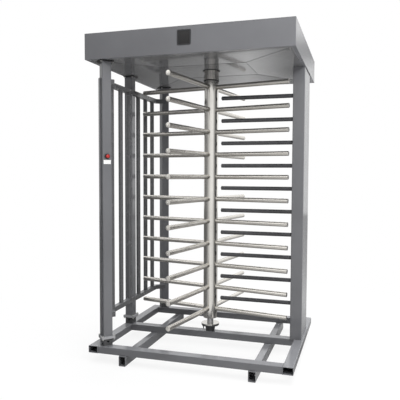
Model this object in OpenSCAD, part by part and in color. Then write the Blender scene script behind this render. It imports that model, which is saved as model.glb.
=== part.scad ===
// Full height turnstile: one rotor of four barred wings on a free-standing frame.
// Millimetres. X runs across the lane, Y runs through it with the front at -Y, Z is up.
// The rotor's axis is the Z axis and the floor is Z = 0.

/* [Base frame] */
// Width of the base over its side rails
base_w = 1450; // [1350:10:1600]
// Depth of the base, the length of its side rails
base_d = 1180; // [1150:10:1400]
// Width of the flat base tube
rail_w = 70; // [60:5:80]
// Height of the flat base tube
rail_h = 50; // [40:5:70]
// Wall of the base tubes
tube_t = 3; // [2:0.5:4]
// Width of a skid tube
skid_w = 50; // [40:5:70]
// Height of a skid tube
skid_h = 70; // [50:5:100]
// How far a skid stands out past the base, front and rear
skid_over = 10; // [0:5:30]
// Distance of the middle of a skid in from the base's side
skid_in = 265; // [205:5:345]
// Diameter of the anchor holes through the skids
anchor_d = 14; // [10:1:20]
// Distance of the anchor holes in from the base's ends
anchor_in = 110; // [100:10:190]

/* [Left posts] */
// Side of the square post tube
post_w = 65; // [60:1:66]
// Wall of the post tube
post_t = 3; // [2:0.5:4]
// Outer corner radius of the post tube
post_r = 5; // [4:0.5:8]
// Distance of the corner posts in from the base's side
corner_in_x = 119; // [110:1:130]
// Distance of the corner posts in from the base's end
corner_in_y = 48; // [40:1:60]
// Height of the foot stub under a post
stub_h = 56; // [50:2:80]
// Width of the drain window in a foot stub
window_w = 16; // [12:1:30]
// Height of the drain window
window_h = 12; // [8:1:16]
// Side of the square flange plates
flange_w = 96; // [94:1:100]
// Thickness of the two plates bolted together at the foot
foot_plate_t = 8; // [6:1:12]
// Thickness of the flange under the header
top_flange_t = 16; // [14:1:20]
// Corner radius of the flange plates
flange_r = 4; // [2:1:6]
// Thread diameter of the flange bolts
bolt_d = 8; // [6:1:8]
// Distance of the bolts in from the flange's edges
bolt_in = 7.5; // [7:0.5:8]

/* [Right post] */
// Width of the folded right post across the lane
right_w = 86; // [74:2:100]
// Depth of the right post
right_d = 340; // [280:10:400]
// How far the right post stands out in front of the comb
right_front = 38; // [30:2:60]
// Sheet of the right post
right_t = 3; // [2:0.5:4]
// Outer corner radius of the right post
right_r = 5; // [4:0.5:8]
// Diameter of the cable hole up through the right rail and the post's foot
cable_d = 40; // [20:2:44]

/* [Rotor] */
// Outer diameter of the column
column_d = 108; // [100:2:120]
// Wall of the column
column_t = 3; // [2:0.5:4]
// Outer diameter of an arm
arm_d = 34; // [30:1:40]
// Wall of an arm
arm_t = 2; // [1.5:0.25:3]
// Levels of arms on the rotor
arm_levels = 11; // [8:1:12]
// Height from one arm level to the next
arm_pitch = 170; // [160:2:180]
// Height of the lowest arms above the base frame
first_arm_h = 180; // [170:5:240]
// Gap between the arm tips and the nearest fixed piece
tip_gap = 3; // [3:1:20]
// Angle of the first wing from the comb at rest, in degrees
rest_angle = -10.6; // [-14:0.2:-8]
// Thickness of an arm's end cap at its rim
cap_t = 2; // [1.5:0.5:4]
// Crown of an arm's end cap
cap_crown = 2; // [1:0.5:4]
// Depth of a cap's plug inside its tube
cap_plug = 14; // [8:1:20]
// Height of the collar below the header
collar_h = 74; // [50:2:90]
// Wall of the collar
collar_t = 2; // [1.5:0.5:4]

/* [Comb] */
// Outer diameter of a comb bar
comb_d = 30; // [26:1:36]
// Wall of a comb bar
comb_t = 2; // [1.5:0.25:3]
// Gap between the column and the comb's free ends
comb_gap = 26; // [20:1:50]
// Depth of a comb bar inside the right post
comb_in = 25; // [15:1:40]
// Crown of a comb bar's end cap
comb_crown = 6; // [3:1:10]

/* [Cage] */
// Width of the cage rails
cage_w = 38; // [36:1:42]
// Height of the cage rails
cage_h = 35; // [30:1:40]
// Wall of the cage rails
cage_t = 2.5; // [1.5:0.5:3]
// Diameter of the upright cage bars
cage_bar_d = 34; // [25:1:36]
// Height of the bottom rail's middle above the base frame
cage_low_h = 208; // [190:2:260]
// Distance of the top rail's middle below the header
cage_top_drop = 131; // [110:3:180]
// Distance from the middle of the cage to the first bar on each side
cage_first = 85; // [75:1:90]
// Distance from one cage bar to the next
cage_pitch = 142; // [130:1:146]
// How far the cage rails stand out past the middle post's inner face
cage_out = 17; // [14:1:24]
// Length of a rail's bent end that lies on the corner post
cage_lap = 14; // [10:1:30]
// Width of the fixing strip on the front left post
strip_w = 30; // [20:1:32]
// Thickness of the fixing strip
strip_t = 8; // [6:1:10]

/* [Header] */
// How far the header stops short of the base on each side
header_in = 8; // [4:1:10]
// How far the header stands out past the base, front and rear
header_over = 35; // [25:5:60]
// Height of the header
header_h = 175; // [168:1:220]
// Height of the header's underside above the highest arms
head_gap = 114; // [100:2:160]
// Sheet of the header
sheet = 2; // [1.5:0.5:3]
// Width of the inward lips that hold the soffit and the lid
lip_w = 25; // [15:1:36]
// Rise of the soffit's middle above its rim
recess_h = 10; // [6:1:12]
// Flat rim round the soffit
soffit_rim = 40; // [40:2:60]
// Distance from the header's side to the soffit's flat middle
recess_in_x = 400; // [360:5:440]
// Distance from the header's front to the soffit's flat middle
recess_in_y = 410; // [380:5:440]
// Width of the display
display_w = 95; // [80:1:120]
// Height of the display
display_h = 100; // [80:1:110]
// Height of the display's middle above the header's underside
display_z = 101; // [90:1:105]
// Corner radius of the display
display_r = 9; // [5:1:14]

/* [Mechanism] */
// Height of the mechanism beams
beam_h = 80; // [76:2:90]
// Width of the mechanism beams
beam_w = 40; // [30:2:50]
// Wall of the mechanism beams
beam_t = 4; // [3:0.5:6]
// Distance of the beams' webs from the rotor's axis
beam_y = 160; // [156:1:180]
// Radius of the index disc
disc_r = 105; // [96:1:106]
// Thickness of the index disc
disc_t = 12; // [10:1:14]
// Width of a notch in the index disc
notch_w = 20; // [20:0.5:24]
// Depth of a notch in the index disc
notch_depth = 14; // [11:0.5:18]
// Radius of the centring cam
cam_r = 72; // [66:1:76]
// Thickness of the centring cam
cam_t = 16; // [14:1:17]
// Depth of a valley in the centring cam
valley = 8; // [5:0.5:9]
// Distance of a pawl's pivot sideways from its notch
pawl_x = 75; // [70:1:80]
// Length of a pawl's tail, from its pivot to the plunger's pin
tail_l = 55; // [50:1:60]
// Gap between a released pawl and the disc
pawl_gap = 2; // [1.5:0.25:4]
// Diameter of the pawl's pivot pin
pivot_d = 14; // [10:1:16]
// Diameter of a solenoid
solenoid_d = 40; // [30:1:44]
// Length of a solenoid
solenoid_l = 60; // [40:1:66]

/* [Bearings] */
// Diameter of the upper spindle
upper_d = 50; // [40:1:60]
// Outer diameter of the upper bearing
upper_bearing_d = 80; // [74:1:90]
// Diameter of the lower spindle's neck
neck_d = 48; // [44:1:56]
// Diameter of the lower journal
journal_d = 40; // [30:1:42]
// Outer diameter of the lower bearing
lower_bearing_d = 68; // [60:1:70]
// Height of the pedestal that holds the lower bearing
pedestal_h = 56; // [52:1:70]
// Diameter of the bearing's round flanges
bearing_flange_d = 138; // [130:2:150]
// Thickness of the stainless cover over the lower bearing
cover_t = 8; // [5:1:12]
// Height of the column's lower end above the cover
column_up = 43; // [24:1:60]

/* [Push button] */
// Height of the button above the base frame
button_h = 1339; // [1100:1:1500]
// Diameter of the button's head
button_d = 28; // [22:1:34]
// Diameter of the button's base
button_base_d = 37; // [30:1:44]
// Travel of the button
button_travel = 4; // [2:0.5:4]
// Width of the blank label plate under the button
label_w = 50; // [30:1:54]
// Height of the blank label plate
label_h = 33; // [20:1:40]

/* [Hidden] */
$fn = 64;

// The diagonal of a square for a side of one
diagonal_share = sqrt(2);

// Clearances shared by all pieces
over = 1;
fit = 0.05;
seat_gap = 0.3;
hole_gap = 0.5;

// Levels of the frame
base_top = skid_h + rail_h;
arm_z0 = base_top + first_arm_h;
arm_z1 = arm_z0 + (arm_levels - 1) * arm_pitch;
header_z = arm_z1 + head_gap;
header_top = header_z + header_h;
mount_rise = 10;
mount_z = header_z + mount_rise;
mount_plate_t = 8;
beam_z = mount_z + mount_plate_t;
plate_z = beam_z + beam_h;
plate_t = 10;
foot_z = base_top + stub_h;
post_z = foot_z + 2 * foot_plate_t;

// Plan of the frame
skid_x = base_w / 2 - skid_in;
anchor_y = base_d / 2 - anchor_in;
header_w = base_w - 2 * header_in;
header_d = base_d + 2 * header_over;
wall_x = header_w / 2 - sheet;
wall_y = header_d / 2 - sheet;
corner_x = base_w / 2 - corner_in_x;
corner_y = base_d / 2 - corner_in_y;
post_wall_gap = 1;
middle_x = wall_x - post_wall_gap - post_w / 2;
right_wall_gap = 3;
right_x1 = wall_x - right_wall_gap;
right_x0 = right_x1 - right_w;
right_y0 = -right_front;
cage_x = middle_x - post_w / 2 - cage_out + cage_w / 2;
cage_inner_x = cage_x - max(cage_w, cage_bar_d) / 2;
tip_r = min(right_x0, cage_inner_x) - tip_gap;

// Fasteners
bolt_r = bolt_d / 2;
bolt_head_share = 0.92;
bolt_head_r = bolt_d * bolt_head_share;
bolt_head_h_share = 0.65;
bolt_head_h = bolt_d * bolt_head_h_share;
nut_h_share = 0.8;
nut_h = bolt_d * nut_h_share;

// Rotor stack
column_r = column_d / 2;
column_bore_r = column_r - column_t;
column_z0 = base_top + pedestal_h + cover_t + column_up;
disc_drop = 48;
disc_z = plate_z - disc_drop;
disc_hub_h = 16;
column_z1 = disc_z - disc_hub_h;
plug_h = 20;
spindle_up = 12;
housing_h = 30;
spindle_z1 = plate_z + plate_t + housing_h + spindle_up;
arm_r = arm_d / 2;
cap_z = cap_t + cap_crown;

// Colours
paint = "#6d6e71";
dark_paint = "#3f4043";
steel = "#c9c6bf";
bright = "#9a9b9c";
black = "#1c1c1e";

// A rectangle with round corners, centred, from exact arcs
module round_rect(w, d, r) {
    square([w - 2 * r, d], center = true);
    square([w, d - 2 * r], center = true);
    for (x = [-1, 1])
        for (y = [-1, 1])
            translate([x * (w / 2 - r), y * (d / 2 - r)])
                circle(r);
}

// A straight rectangular tube along Z with open ends
module box_tube(w, d, h, t, r) {
    linear_extrude(h)
        difference() {
            round_rect(w, d, r);
            round_rect(w - 2 * t, d - 2 * t, r - t);
        }
}

// A base tube along X, its lower face at the skids' top
module cross_rail(y) {
    translate([-base_w / 2 + rail_w, y, skid_h + rail_h / 2])
        rotate([90, 0, 90])
            box_tube(rail_w, rail_h, base_w - 2 * rail_w, tube_t, tube_t + over);
}

module side_rail(x) {
    translate([x, base_d / 2, skid_h + rail_h / 2])
        rotate([90, 0, 0])
            box_tube(rail_w, rail_h, base_d, tube_t, tube_t + over);
}

module skid(x) {
    skid_l = base_d + 2 * skid_over;
    difference() {
        translate([x, skid_l / 2, skid_h / 2])
            rotate([90, 0, 0])
                box_tube(skid_w, skid_h, skid_l, tube_t, tube_t + over);
        for (y = [-anchor_y, anchor_y])
            translate([x, y, -over])
                cylinder(d = anchor_d, h = skid_h + 2 * over);
    }
}

module skid_left() {
    color(paint) skid(-skid_x);
}

module skid_right() {
    color(paint) skid(skid_x);
}

module side_rail_left() {
    color(paint) side_rail(-(base_w - rail_w) / 2);
}

// The right post's two foot bolts, on the middle of the side rail
right_bolt_inset = 40;
right_bolt_x = (base_w - rail_w) / 2;
right_bolt_ys = [right_y0 + right_bolt_inset, right_y0 + right_d - right_bolt_inset];
cable_x = right_bolt_x;
cable_y = right_y0 + right_d / 2;

module side_rail_right() {
    color(paint)
        difference() {
            side_rail((base_w - rail_w) / 2);
            for (y = right_bolt_ys)
                translate([right_bolt_x, y, base_top - 2 * tube_t])
                    cylinder(r = bolt_r + hole_gap, h = 2 * tube_t + over);
            translate([cable_x, cable_y, skid_h - over])
                cylinder(d = cable_d, h = rail_h + 2 * over);
        }
}

module front_rail() {
    color(paint) cross_rail(-(base_d - rail_w) / 2);
}

module middle_rail() {
    color(paint) cross_rail(0);
}

module rear_rail() {
    color(paint) cross_rail((base_d - rail_w) / 2);
}

// Places of the left posts: front corner, middle, rear corner.
// The corner posts stand turned by 45 degrees.
post_places = [[-corner_x, -corner_y, 45], [-middle_x, 0, 0], [-corner_x, corner_y, 45]];

module at_post(i) {
    translate([post_places[i][0], post_places[i][1], 0])
        rotate(post_places[i][2])
            children();
}

bolt_half = flange_w / 2 - bolt_in;
// The middle post's top flange is cut flush with its outer face, inside the header's wall,
// and its foot plates end at the base's side
trim_x = post_w / 2;
foot_trim_x = min(flange_w / 2, base_w / 2 - over - middle_x);

function top_out(i) = i == 1 ? trim_x : flange_w / 2;
function foot_out(i) = i == 1 ? foot_trim_x : flange_w / 2;
function bolts_of(out) = [for (x = [-(out - bolt_in), bolt_half]) for (y = [-1, 1]) [x, y * bolt_half]];

// The fixing strip on the front left post, between the rear foot bolt and the face's middle
strip_y1 = bolt_half - bolt_head_r - over;
strip_y0 = strip_y1 - strip_w;

// A flange reaching out by the given amount, with a slot for the strip where it is asked for
module post_flange(out, t, slotted = false) {
    linear_extrude(t)
        difference() {
            intersection() {
                round_rect(flange_w, flange_w, flange_r);
                translate([-out, -flange_w / 2])
                    square([out + flange_w / 2, flange_w]);
            }
            for (p = bolts_of(out))
                translate(p)
                    circle(bolt_r + hole_gap);
            if (slotted)
                translate([-out - over, strip_y0 - fit])
                    square([out + over - post_w / 2, strip_w + 2 * fit]);
        }
}

// A foot stub with a small drain window
window_up_share = 0.58;

module foot(i) {
    color(paint)
        at_post(i) {
            difference() {
                translate([0, 0, base_top])
                    box_tube(post_w, post_w, stub_h, post_t, post_r);
                translate([0, -post_w / 2, base_top + window_up_share * stub_h])
                    cube([window_w, 2 * post_r, window_h], center = true);
            }
            translate([0, 0, foot_z])
                post_flange(foot_out(i), foot_plate_t, i == 0);
        }
}

module foot_front_left() {
    foot(0);
}

module foot_middle_left() {
    foot(1);
}

module foot_rear_left() {
    foot(2);
}

module left_post(i) {
    color(paint)
        at_post(i) {
            translate([0, 0, foot_z + foot_plate_t])
                post_flange(foot_out(i), foot_plate_t, i == 0);
            translate([0, 0, post_z])
                box_tube(post_w, post_w, mount_z - top_flange_t - post_z, post_t, post_r);
            translate([0, 0, mount_z - top_flange_t])
                post_flange(top_out(i), top_flange_t);
        }
}

module post_front_left() {
    left_post(0);
}

module post_middle_left() {
    left_post(1);
}

module post_rear_left() {
    left_post(2);
}

right_cx = (right_x0 + right_x1) / 2;
right_cy = right_y0 + right_d / 2;
right_top_t = 10;
right_foot_t = 8;
comb_zs = [for (i = [0 : arm_levels - 2]) arm_z0 + (i + 1 / 2) * arm_pitch];
right_top_bolts = [for (x = [-1, 1]) for (y = [-1, 1])
    [right_cx + x * (right_w / 2 - 2 * bolt_in - right_t), right_cy + y * (right_d / 2 - 2 * bolt_in)]];

module right_post() {
    color(paint)
        difference() {
            union() {
                translate([right_cx, right_cy, base_top])
                    box_tube(right_w, right_d, mount_z - base_top, right_t, right_r);
                translate([right_cx, right_cy, base_top])
                    linear_extrude(right_foot_t)
                        round_rect(right_w, right_d, right_r);
                translate([right_cx, right_cy, mount_z - right_top_t])
                    linear_extrude(right_top_t)
                        round_rect(right_w, right_d, right_r);
            }
            for (z = comb_zs)
                translate([right_x0 - over, 0, z])
                    rotate([0, 90, 0])
                        cylinder(d = comb_d + 2 * fit, h = right_t + 2 * over);
            for (y = right_bolt_ys)
                translate([right_bolt_x, y, base_top - over])
                    cylinder(r = bolt_r + hole_gap, h = right_foot_t + 2 * over);
            for (p = right_top_bolts)
                translate([p[0], p[1], mount_z - right_top_t - over])
                    cylinder(r = bolt_r + hole_gap, h = right_top_t + 2 * over);
            translate([cable_x, cable_y, base_top - over])
                cylinder(d = cable_d, h = right_foot_t + 2 * over);
        }
}

// A hex bolt along Z with its head's seat at the origin, its shank going up by grip to a nut
module bolt(grip) {
    translate([0, 0, -bolt_head_h])
        cylinder(r = bolt_head_r, h = bolt_head_h, $fn = 6);
    cylinder(r = bolt_r, h = grip + nut_h + bolt_r);
    translate([0, 0, grip])
        cylinder(r = bolt_head_r, h = nut_h, $fn = 6);
}

module post_bolts() {
    color(bright) {
        for (i = [0 : len(post_places) - 1])
            at_post(i) {
                for (p = bolts_of(foot_out(i)))
                    translate([p[0], p[1], post_z])
                        mirror([0, 0, 1])
                            bolt(2 * foot_plate_t);
                for (p = bolts_of(top_out(i)))
                    translate([p[0], p[1], mount_z - top_flange_t])
                        bolt(top_flange_t + mount_plate_t);
            }
        for (y = right_bolt_ys)
            translate([right_bolt_x, y, base_top + right_foot_t])
                mirror([0, 0, 1])
                    bolt(right_foot_t + tube_t);
        for (p = right_top_bolts)
            translate([p[0], p[1], mount_z - right_top_t])
                bolt(right_top_t + mount_plate_t);
    }
}

// A tube along X from x = 0
module x_tube(d, t, l) {
    rotate([0, 90, 0])
        linear_extrude(l)
            difference() {
                circle(d = d);
                circle(d = d - 2 * t);
            }
}

// A domed end cap with a plug, its rim's back at the origin and its crown towards +X
module end_cap(d, t, rim, crown, plug) {
    plug_r = d / 2 - t - fit;
    dome_r = (d * d / 4 + crown * crown) / (2 * crown);
    rotate([0, 90, 0])
        union() {
            translate([0, 0, -plug])
                cylinder(r = plug_r, h = plug);
            cylinder(d = d, h = rim);
            intersection() {
                translate([0, 0, rim + crown - dome_r])
                    sphere(dome_r);
                translate([0, 0, rim])
                    cylinder(d = d, h = crown + over);
            }
        }
}

comb_x0 = column_r + comb_gap;
comb_rim = 1;
comb_tube_x0 = comb_x0 + comb_rim + comb_crown;

module comb_bars() {
    color(dark_paint)
        for (z = comb_zs)
            translate([comb_tube_x0, 0, z])
                x_tube(comb_d, comb_t, right_x0 + comb_in - comb_tube_x0);
}

module comb_caps() {
    color(black)
        for (z = comb_zs)
            translate([comb_tube_x0, 0, z])
                rotate(180)
                    end_cap(comb_d, comb_t, comb_rim, comb_crown, cap_plug);
}

// Plan of a cage rail's middle line: straight along the lane and coped round the middle post,
// then bent by 45 degrees to lie on the inner faces of the turned corner posts
face_off = (post_w + cage_w) / 2;
bend_y = corner_x + corner_y - face_off * diagonal_share - cage_x;
tail_len = (cage_x - corner_x) * diagonal_share + cage_w / 2 + cage_lap;
cage_low_z = base_top + cage_low_h;
cage_top_z = header_z - cage_top_drop;

// One corner of the rail's outline: s is its side offset, e is -1 at the front and 1 at the rear
function bend_point(s, e) = [-cage_x + s, e * (bend_y - s * tan(45 / 2))];
function end_point(s, e, more) = [-cage_x + (tail_len + more + s) / diagonal_share,
    e * (bend_y + (tail_len + more - s) / diagonal_share)];

module rail_plan(w, more) {
    a = -w / 2;
    b = w / 2;
    polygon([end_point(a, -1, more), bend_point(a, -1), bend_point(a, 1), end_point(a, 1, more),
        end_point(b, 1, more), bend_point(b, 1), bend_point(b, -1), end_point(b, -1, more)]);
}

module cage_rail(z) {
    color(dark_paint)
        difference() {
            translate([0, 0, z - cage_h / 2])
                linear_extrude(cage_h)
                    rail_plan(cage_w, 0);
            translate([0, 0, z - cage_h / 2 + cage_t])
                linear_extrude(cage_h - 2 * cage_t)
                    rail_plan(cage_w - 2 * cage_t, over);
            translate([-middle_x, 0, z])
                cube([post_w, post_w, cage_h + 2 * over], center = true);
        }
}

module cage_top_rail() {
    cage_rail(cage_top_z);
}

module cage_bottom_rail() {
    cage_rail(cage_low_z);
}

module cage_bars() {
    bar_z = cage_low_z + cage_h / 2;
    color(dark_paint)
        for (i = [0 : 2])
            for (side = [-1, 1])
                translate([-cage_x, side * (cage_first + i * cage_pitch), bar_z])
                    linear_extrude(cage_top_z - cage_h / 2 - bar_z)
                        difference() {
                            circle(d = cage_bar_d);
                            circle(d = cage_bar_d - 2 * cage_t);
                        }
}

module fixing_strip() {
    color(paint)
        at_post(0)
            translate([-post_w / 2 - strip_t, strip_y0, base_top])
                cube([strip_t, strip_w, cage_top_z + cage_h / 2 - base_top]);
}

// Keep-outs where the posts come up through the header's underside
module post_cutouts(gap) {
    for (i = [0, 2])
        at_post(i)
            square(flange_w + 2 * gap, center = true);
    translate([-middle_x - trim_x - over, -flange_w / 2 - gap])
        square([trim_x + flange_w / 2 + over + gap, flange_w + 2 * gap]);
    translate([right_x0 - gap, right_y0 - gap])
        square([right_w + right_wall_gap + gap, right_d + 2 * gap]);
}

module header_shell() {
    walls_h = header_h - sheet;
    post_gap = seat_gap + hole_gap;
    color(paint)
        difference() {
            translate([-header_w / 2, -header_d / 2, header_z])
                cube([header_w, header_d, walls_h]);
            translate([-wall_x, -wall_y, header_z + sheet])
                cube([2 * wall_x, 2 * wall_y, walls_h - 2 * sheet]);
            translate([-wall_x + lip_w, -wall_y + lip_w, header_z - over])
                cube([2 * (wall_x - lip_w), 2 * (wall_y - lip_w), walls_h + 2 * over]);
            translate([0, 0, header_z - over])
                linear_extrude(sheet + over + seat_gap)
                    intersection() {
                        post_cutouts(post_gap);
                        square([2 * wall_x, 2 * wall_y], center = true);
                    }
            translate([0, -header_d / 2 + sheet + over, header_z + display_z])
                rotate([90, 0, 0])
                    linear_extrude(sheet + 2 * over)
                        round_rect(display_w, display_h, display_r);
        }
}

module header_lid() {
    color(paint)
        translate([-header_w / 2, -header_d / 2, header_top - sheet])
            cube([header_w, header_d, sheet]);
}

// The solid under the soffit's hipped rise, its rim at height z
module hipped(z, low, reach) {
    x1 = wall_x - soffit_rim;
    x2 = header_w / 2 - recess_in_x;
    y1 = wall_y - soffit_rim;
    y2 = header_d / 2 - recess_in_y;
    ex = wall_x - seat_gap + reach;
    ey = wall_y - seat_gap + reach;
    intersection() {
        translate([0, ey, 0])
            rotate([90, 0, 0])
                linear_extrude(2 * ey)
                    polygon([[-ex, low], [ex, low], [ex, z], [x1, z], [x2, z + recess_h],
                        [-x2, z + recess_h], [-x1, z], [-ex, z]]);
        translate([-ex, 0, 0])
            rotate([90, 0, 90])
                linear_extrude(2 * ex)
                    polygon([[-ey, low], [ey, low], [ey, z], [y1, z], [y2, z + recess_h],
                        [-y2, z + recess_h], [-y1, z], [-ey, z]]);
    }
}

collar_ring_t = 2;
collar_ring_h = 6;
soffit_hole_r = column_r + collar_t + 2 * collar_ring_t + 2 * over;

module header_soffit() {
    soffit_z = header_z + sheet;
    color(steel)
        difference() {
            hipped(soffit_z + sheet, soffit_z, 0);
            hipped(soffit_z, soffit_z - over, over);
            translate([0, 0, soffit_z - over])
                linear_extrude(recess_h + sheet + 2 * over) {
                    post_cutouts(hole_gap);
                    circle(soffit_hole_r);
                }
        }
}

bezel_rim = 9;
bezel_deep = 8;
window_in = 1;
window_t = 4;

module display_bezel() {
    color(black)
        translate([0, -header_d / 2 + bezel_deep, header_z + display_z])
            rotate([90, 0, 0])
                linear_extrude(bezel_deep)
                    difference() {
                        round_rect(display_w - 2 * fit, display_h - 2 * fit, display_r);
                        square([display_w - 2 * bezel_rim, display_h - 2 * bezel_rim], center = true);
                    }
}

module display_window() {
    color("#26292d")
        translate([0, -header_d / 2 + window_in + window_t, header_z + display_z])
            rotate([90, 0, 0])
                linear_extrude(window_t)
                    square([display_w - 2 * (bezel_rim + fit), display_h - 2 * (bezel_rim + fit)],
                        center = true);
}

left_plate_w = wall_x - corner_x + flange_w * diagonal_share / 2 + over;
plate_end = 15;
left_plate_d = 2 * corner_y + flange_w * diagonal_share;

module left_header_plate() {
    color(bright)
        translate([0, 0, mount_z])
            linear_extrude(mount_plate_t)
                difference() {
                    translate([-wall_x, -left_plate_d / 2])
                        square([left_plate_w, left_plate_d]);
                    for (i = [0 : len(post_places) - 1])
                        at_post(i)
                            for (p = bolts_of(top_out(i)))
                                translate(p)
                                    circle(bolt_r + hole_gap);
                }
}

right_plate_w = 150;
beam_reach = beam_y + beam_w;

module right_header_plate() {
    color(bright)
        translate([0, 0, mount_z])
            linear_extrude(mount_plate_t)
                difference() {
                    translate([wall_x - right_plate_w, -beam_reach - plate_end])
                        square([right_plate_w, beam_reach + 2 * plate_end + right_y0 + right_d]);
                    for (p = right_top_bolts)
                        translate(p)
                            circle(bolt_r + hole_gap);
                }
}

// A channel along X with its web towards the rotor
module beam() {
    beam_l = 2 * (wall_x - plate_end);
    translate([-beam_l / 2, 0, beam_z])
        difference() {
            translate([0, -beam_reach, 0])
                cube([beam_l, beam_w, beam_h]);
            translate([-over, -beam_reach - over, beam_t])
                cube([beam_l + 2 * over, beam_w - beam_t + over, beam_h - 2 * beam_t]);
        }
}

module beam_front() {
    color(paint) beam();
}

module beam_rear() {
    color(paint) rotate(180) beam();
}

bearing_plate_w = 340;
upper_bolt_r = 64;
upper_flange_r = 76;
upper_flange_t = 10;
upper_lip = 5;
upper_race_h = 20;
upper_wall = 12;
bolt_angles = [45, 135, 225, 315];

module bearing_plate() {
    color(bright)
        translate([0, 0, plate_z])
            linear_extrude(plate_t)
                difference() {
                    square([bearing_plate_w, 2 * beam_reach], center = true);
                    circle(upper_bearing_d / 2 - upper_lip);
                    for (a = bolt_angles)
                        rotate(a)
                            translate([upper_bolt_r, 0])
                                circle(bolt_r + hole_gap);
                }
}

module upper_bearing_housing() {
    housing_z = plate_z + plate_t;
    race_r = upper_bearing_d / 2;
    color(dark_paint)
        difference() {
            union() {
                translate([0, 0, housing_z])
                    cylinder(r = upper_flange_r, h = upper_flange_t);
                translate([0, 0, housing_z])
                    cylinder(r = race_r + upper_wall, h = housing_h);
            }
            translate([0, 0, housing_z - over])
                cylinder(r = race_r - upper_lip, h = housing_h + 2 * over);
            translate([0, 0, housing_z + upper_lip])
                cylinder(r = race_r + fit, h = housing_h);
            for (a = bolt_angles)
                rotate(a)
                    translate([upper_bolt_r, 0, housing_z - over]) {
                        cylinder(r = bolt_r + hole_gap, h = upper_flange_t + 2 * over);
                        translate([0, 0, upper_flange_t + over])
                            cylinder(r = bolt_head_r + hole_gap, h = housing_h);
                    }
        }
}

module upper_bearing() {
    color(bright)
        translate([0, 0, plate_z + plate_t + upper_lip])
            linear_extrude(upper_race_h)
                difference() {
                    circle(upper_bearing_d / 2);
                    circle(upper_d / 2 + fit);
                }
}

// Lower bearing on the middle rail
pedestal_floor = 6;
pedestal_foot_r = 34;
pedestal_top_r = 40;
pedestal_flange_t = 10;
lower_race_h = 18;
race_drop = 4;
cover_z = base_top + pedestal_h;
race_z = cover_z - race_drop - lower_race_h;
lower_bolt_in = 9;
lower_bolt_r = bearing_flange_d / 2 - lower_bolt_in;
stud_tail = 22;
stud_up = 6;

module pedestal() {
    cone_h = pedestal_h - pedestal_flange_t;
    color(black)
        difference() {
            union() {
                translate([0, 0, base_top])
                    cylinder(r1 = pedestal_foot_r, r2 = pedestal_top_r, h = cone_h);
                translate([0, 0, base_top + cone_h])
                    cylinder(d = bearing_flange_d - 2 * over, h = pedestal_flange_t);
            }
            translate([0, 0, base_top + pedestal_floor])
                cylinder(r = journal_d / 2 + 2 * over, h = pedestal_h);
            translate([0, 0, race_z])
                cylinder(r = lower_bearing_d / 2 + fit, h = pedestal_h);
            for (a = bolt_angles)
                rotate(a)
                    translate([lower_bolt_r, 0, base_top])
                        cylinder(r = bolt_r + hole_gap, h = pedestal_h + over);
        }
}

module lower_bearing() {
    color(bright)
        translate([0, 0, race_z])
            linear_extrude(lower_race_h)
                difference() {
                    circle(d = lower_bearing_d);
                    circle(d = journal_d + 2 * fit);
                }
}

module bearing_cover() {
    color(steel)
        difference() {
            translate([0, 0, cover_z])
                cylinder(d = bearing_flange_d, h = cover_t);
            translate([0, 0, cover_z - over])
                cylinder(r = neck_d / 2 + 2 * over, h = cover_t + 2 * over);
            for (a = bolt_angles)
                rotate(a)
                    translate([lower_bolt_r, 0, cover_z - over])
                        cylinder(r = bolt_r + fit, h = stud_up * cover_t / (cover_t + over) + over);
        }
}

module bearing_bolts() {
    stud_h = stud_up * cover_t / (cover_t + over);
    stud_z = cover_z - pedestal_flange_t;
    color(bright)
        for (a = bolt_angles)
            rotate(a) {
                translate([lower_bolt_r, 0, stud_z - stud_tail])
                    cylinder(r = bolt_r, h = stud_tail + pedestal_flange_t + stud_h);
                translate([lower_bolt_r, 0, stud_z - nut_h])
                    cylinder(r = bolt_head_r, h = nut_h, $fn = 6);
                translate([upper_bolt_r, 0, plate_z])
                    bolt(plate_t + upper_flange_t);
            }
}

// Rotor
module column() {
    color(steel)
        translate([0, 0, column_z0])
            linear_extrude(column_z1 - column_z0)
                difference() {
                    circle(column_r);
                    circle(column_bore_r);
                }
}

module column_collar() {
    collar_up = 8;
    collar_z = header_z + collar_up - collar_h;
    color(steel)
        difference() {
            union() {
                translate([0, 0, collar_z])
                    cylinder(r = column_r + collar_t, h = collar_h);
                for (z = [collar_z, collar_z + collar_h - collar_ring_h])
                    translate([0, 0, z])
                        cylinder(r = column_r + collar_t + collar_ring_t, h = collar_ring_h);
            }
            translate([0, 0, collar_z - over])
                cylinder(r = column_r + fit, h = collar_h + 2 * over);
        }
}

module top_spindle() {
    color(bright)
        union() {
            translate([0, 0, column_z1 - plug_h])
                cylinder(r = column_bore_r - fit, h = plug_h);
            translate([0, 0, column_z1])
                cylinder(r = column_r, h = disc_hub_h);
            translate([0, 0, column_z1])
                cylinder(d = upper_d, h = spindle_z1 - column_z1);
        }
}

module bottom_spindle() {
    neck_z = race_z + lower_race_h + seat_gap;
    journal_z = base_top + pedestal_floor + race_drop;
    color(bright)
        union() {
            translate([0, 0, column_z0])
                cylinder(r = column_bore_r - fit, h = plug_h);
            translate([0, 0, neck_z])
                cylinder(d = neck_d, h = column_z0 - neck_z);
            translate([0, 0, journal_z])
                cylinder(d = journal_d, h = neck_z - journal_z);
        }
}

arm_tube_r = tip_r - cap_z;

// One wing: a row of round arms, saddle-cut to sit on the column
module wing(a) {
    color(steel)
        rotate(a)
            for (i = [0 : arm_levels - 1])
                translate([0, 0, arm_z0 + i * arm_pitch])
                    difference() {
                        x_tube(arm_d, arm_t, arm_tube_r);
                        translate([0, 0, -arm_d])
                            cylinder(r = column_r, h = 2 * arm_d);
                    }
}

module wing_right() {
    wing(rest_angle);
}

module wing_rear() {
    wing(rest_angle + 90);
}

module wing_left() {
    wing(rest_angle + 180);
}

module wing_front() {
    wing(rest_angle + 270);
}

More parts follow.
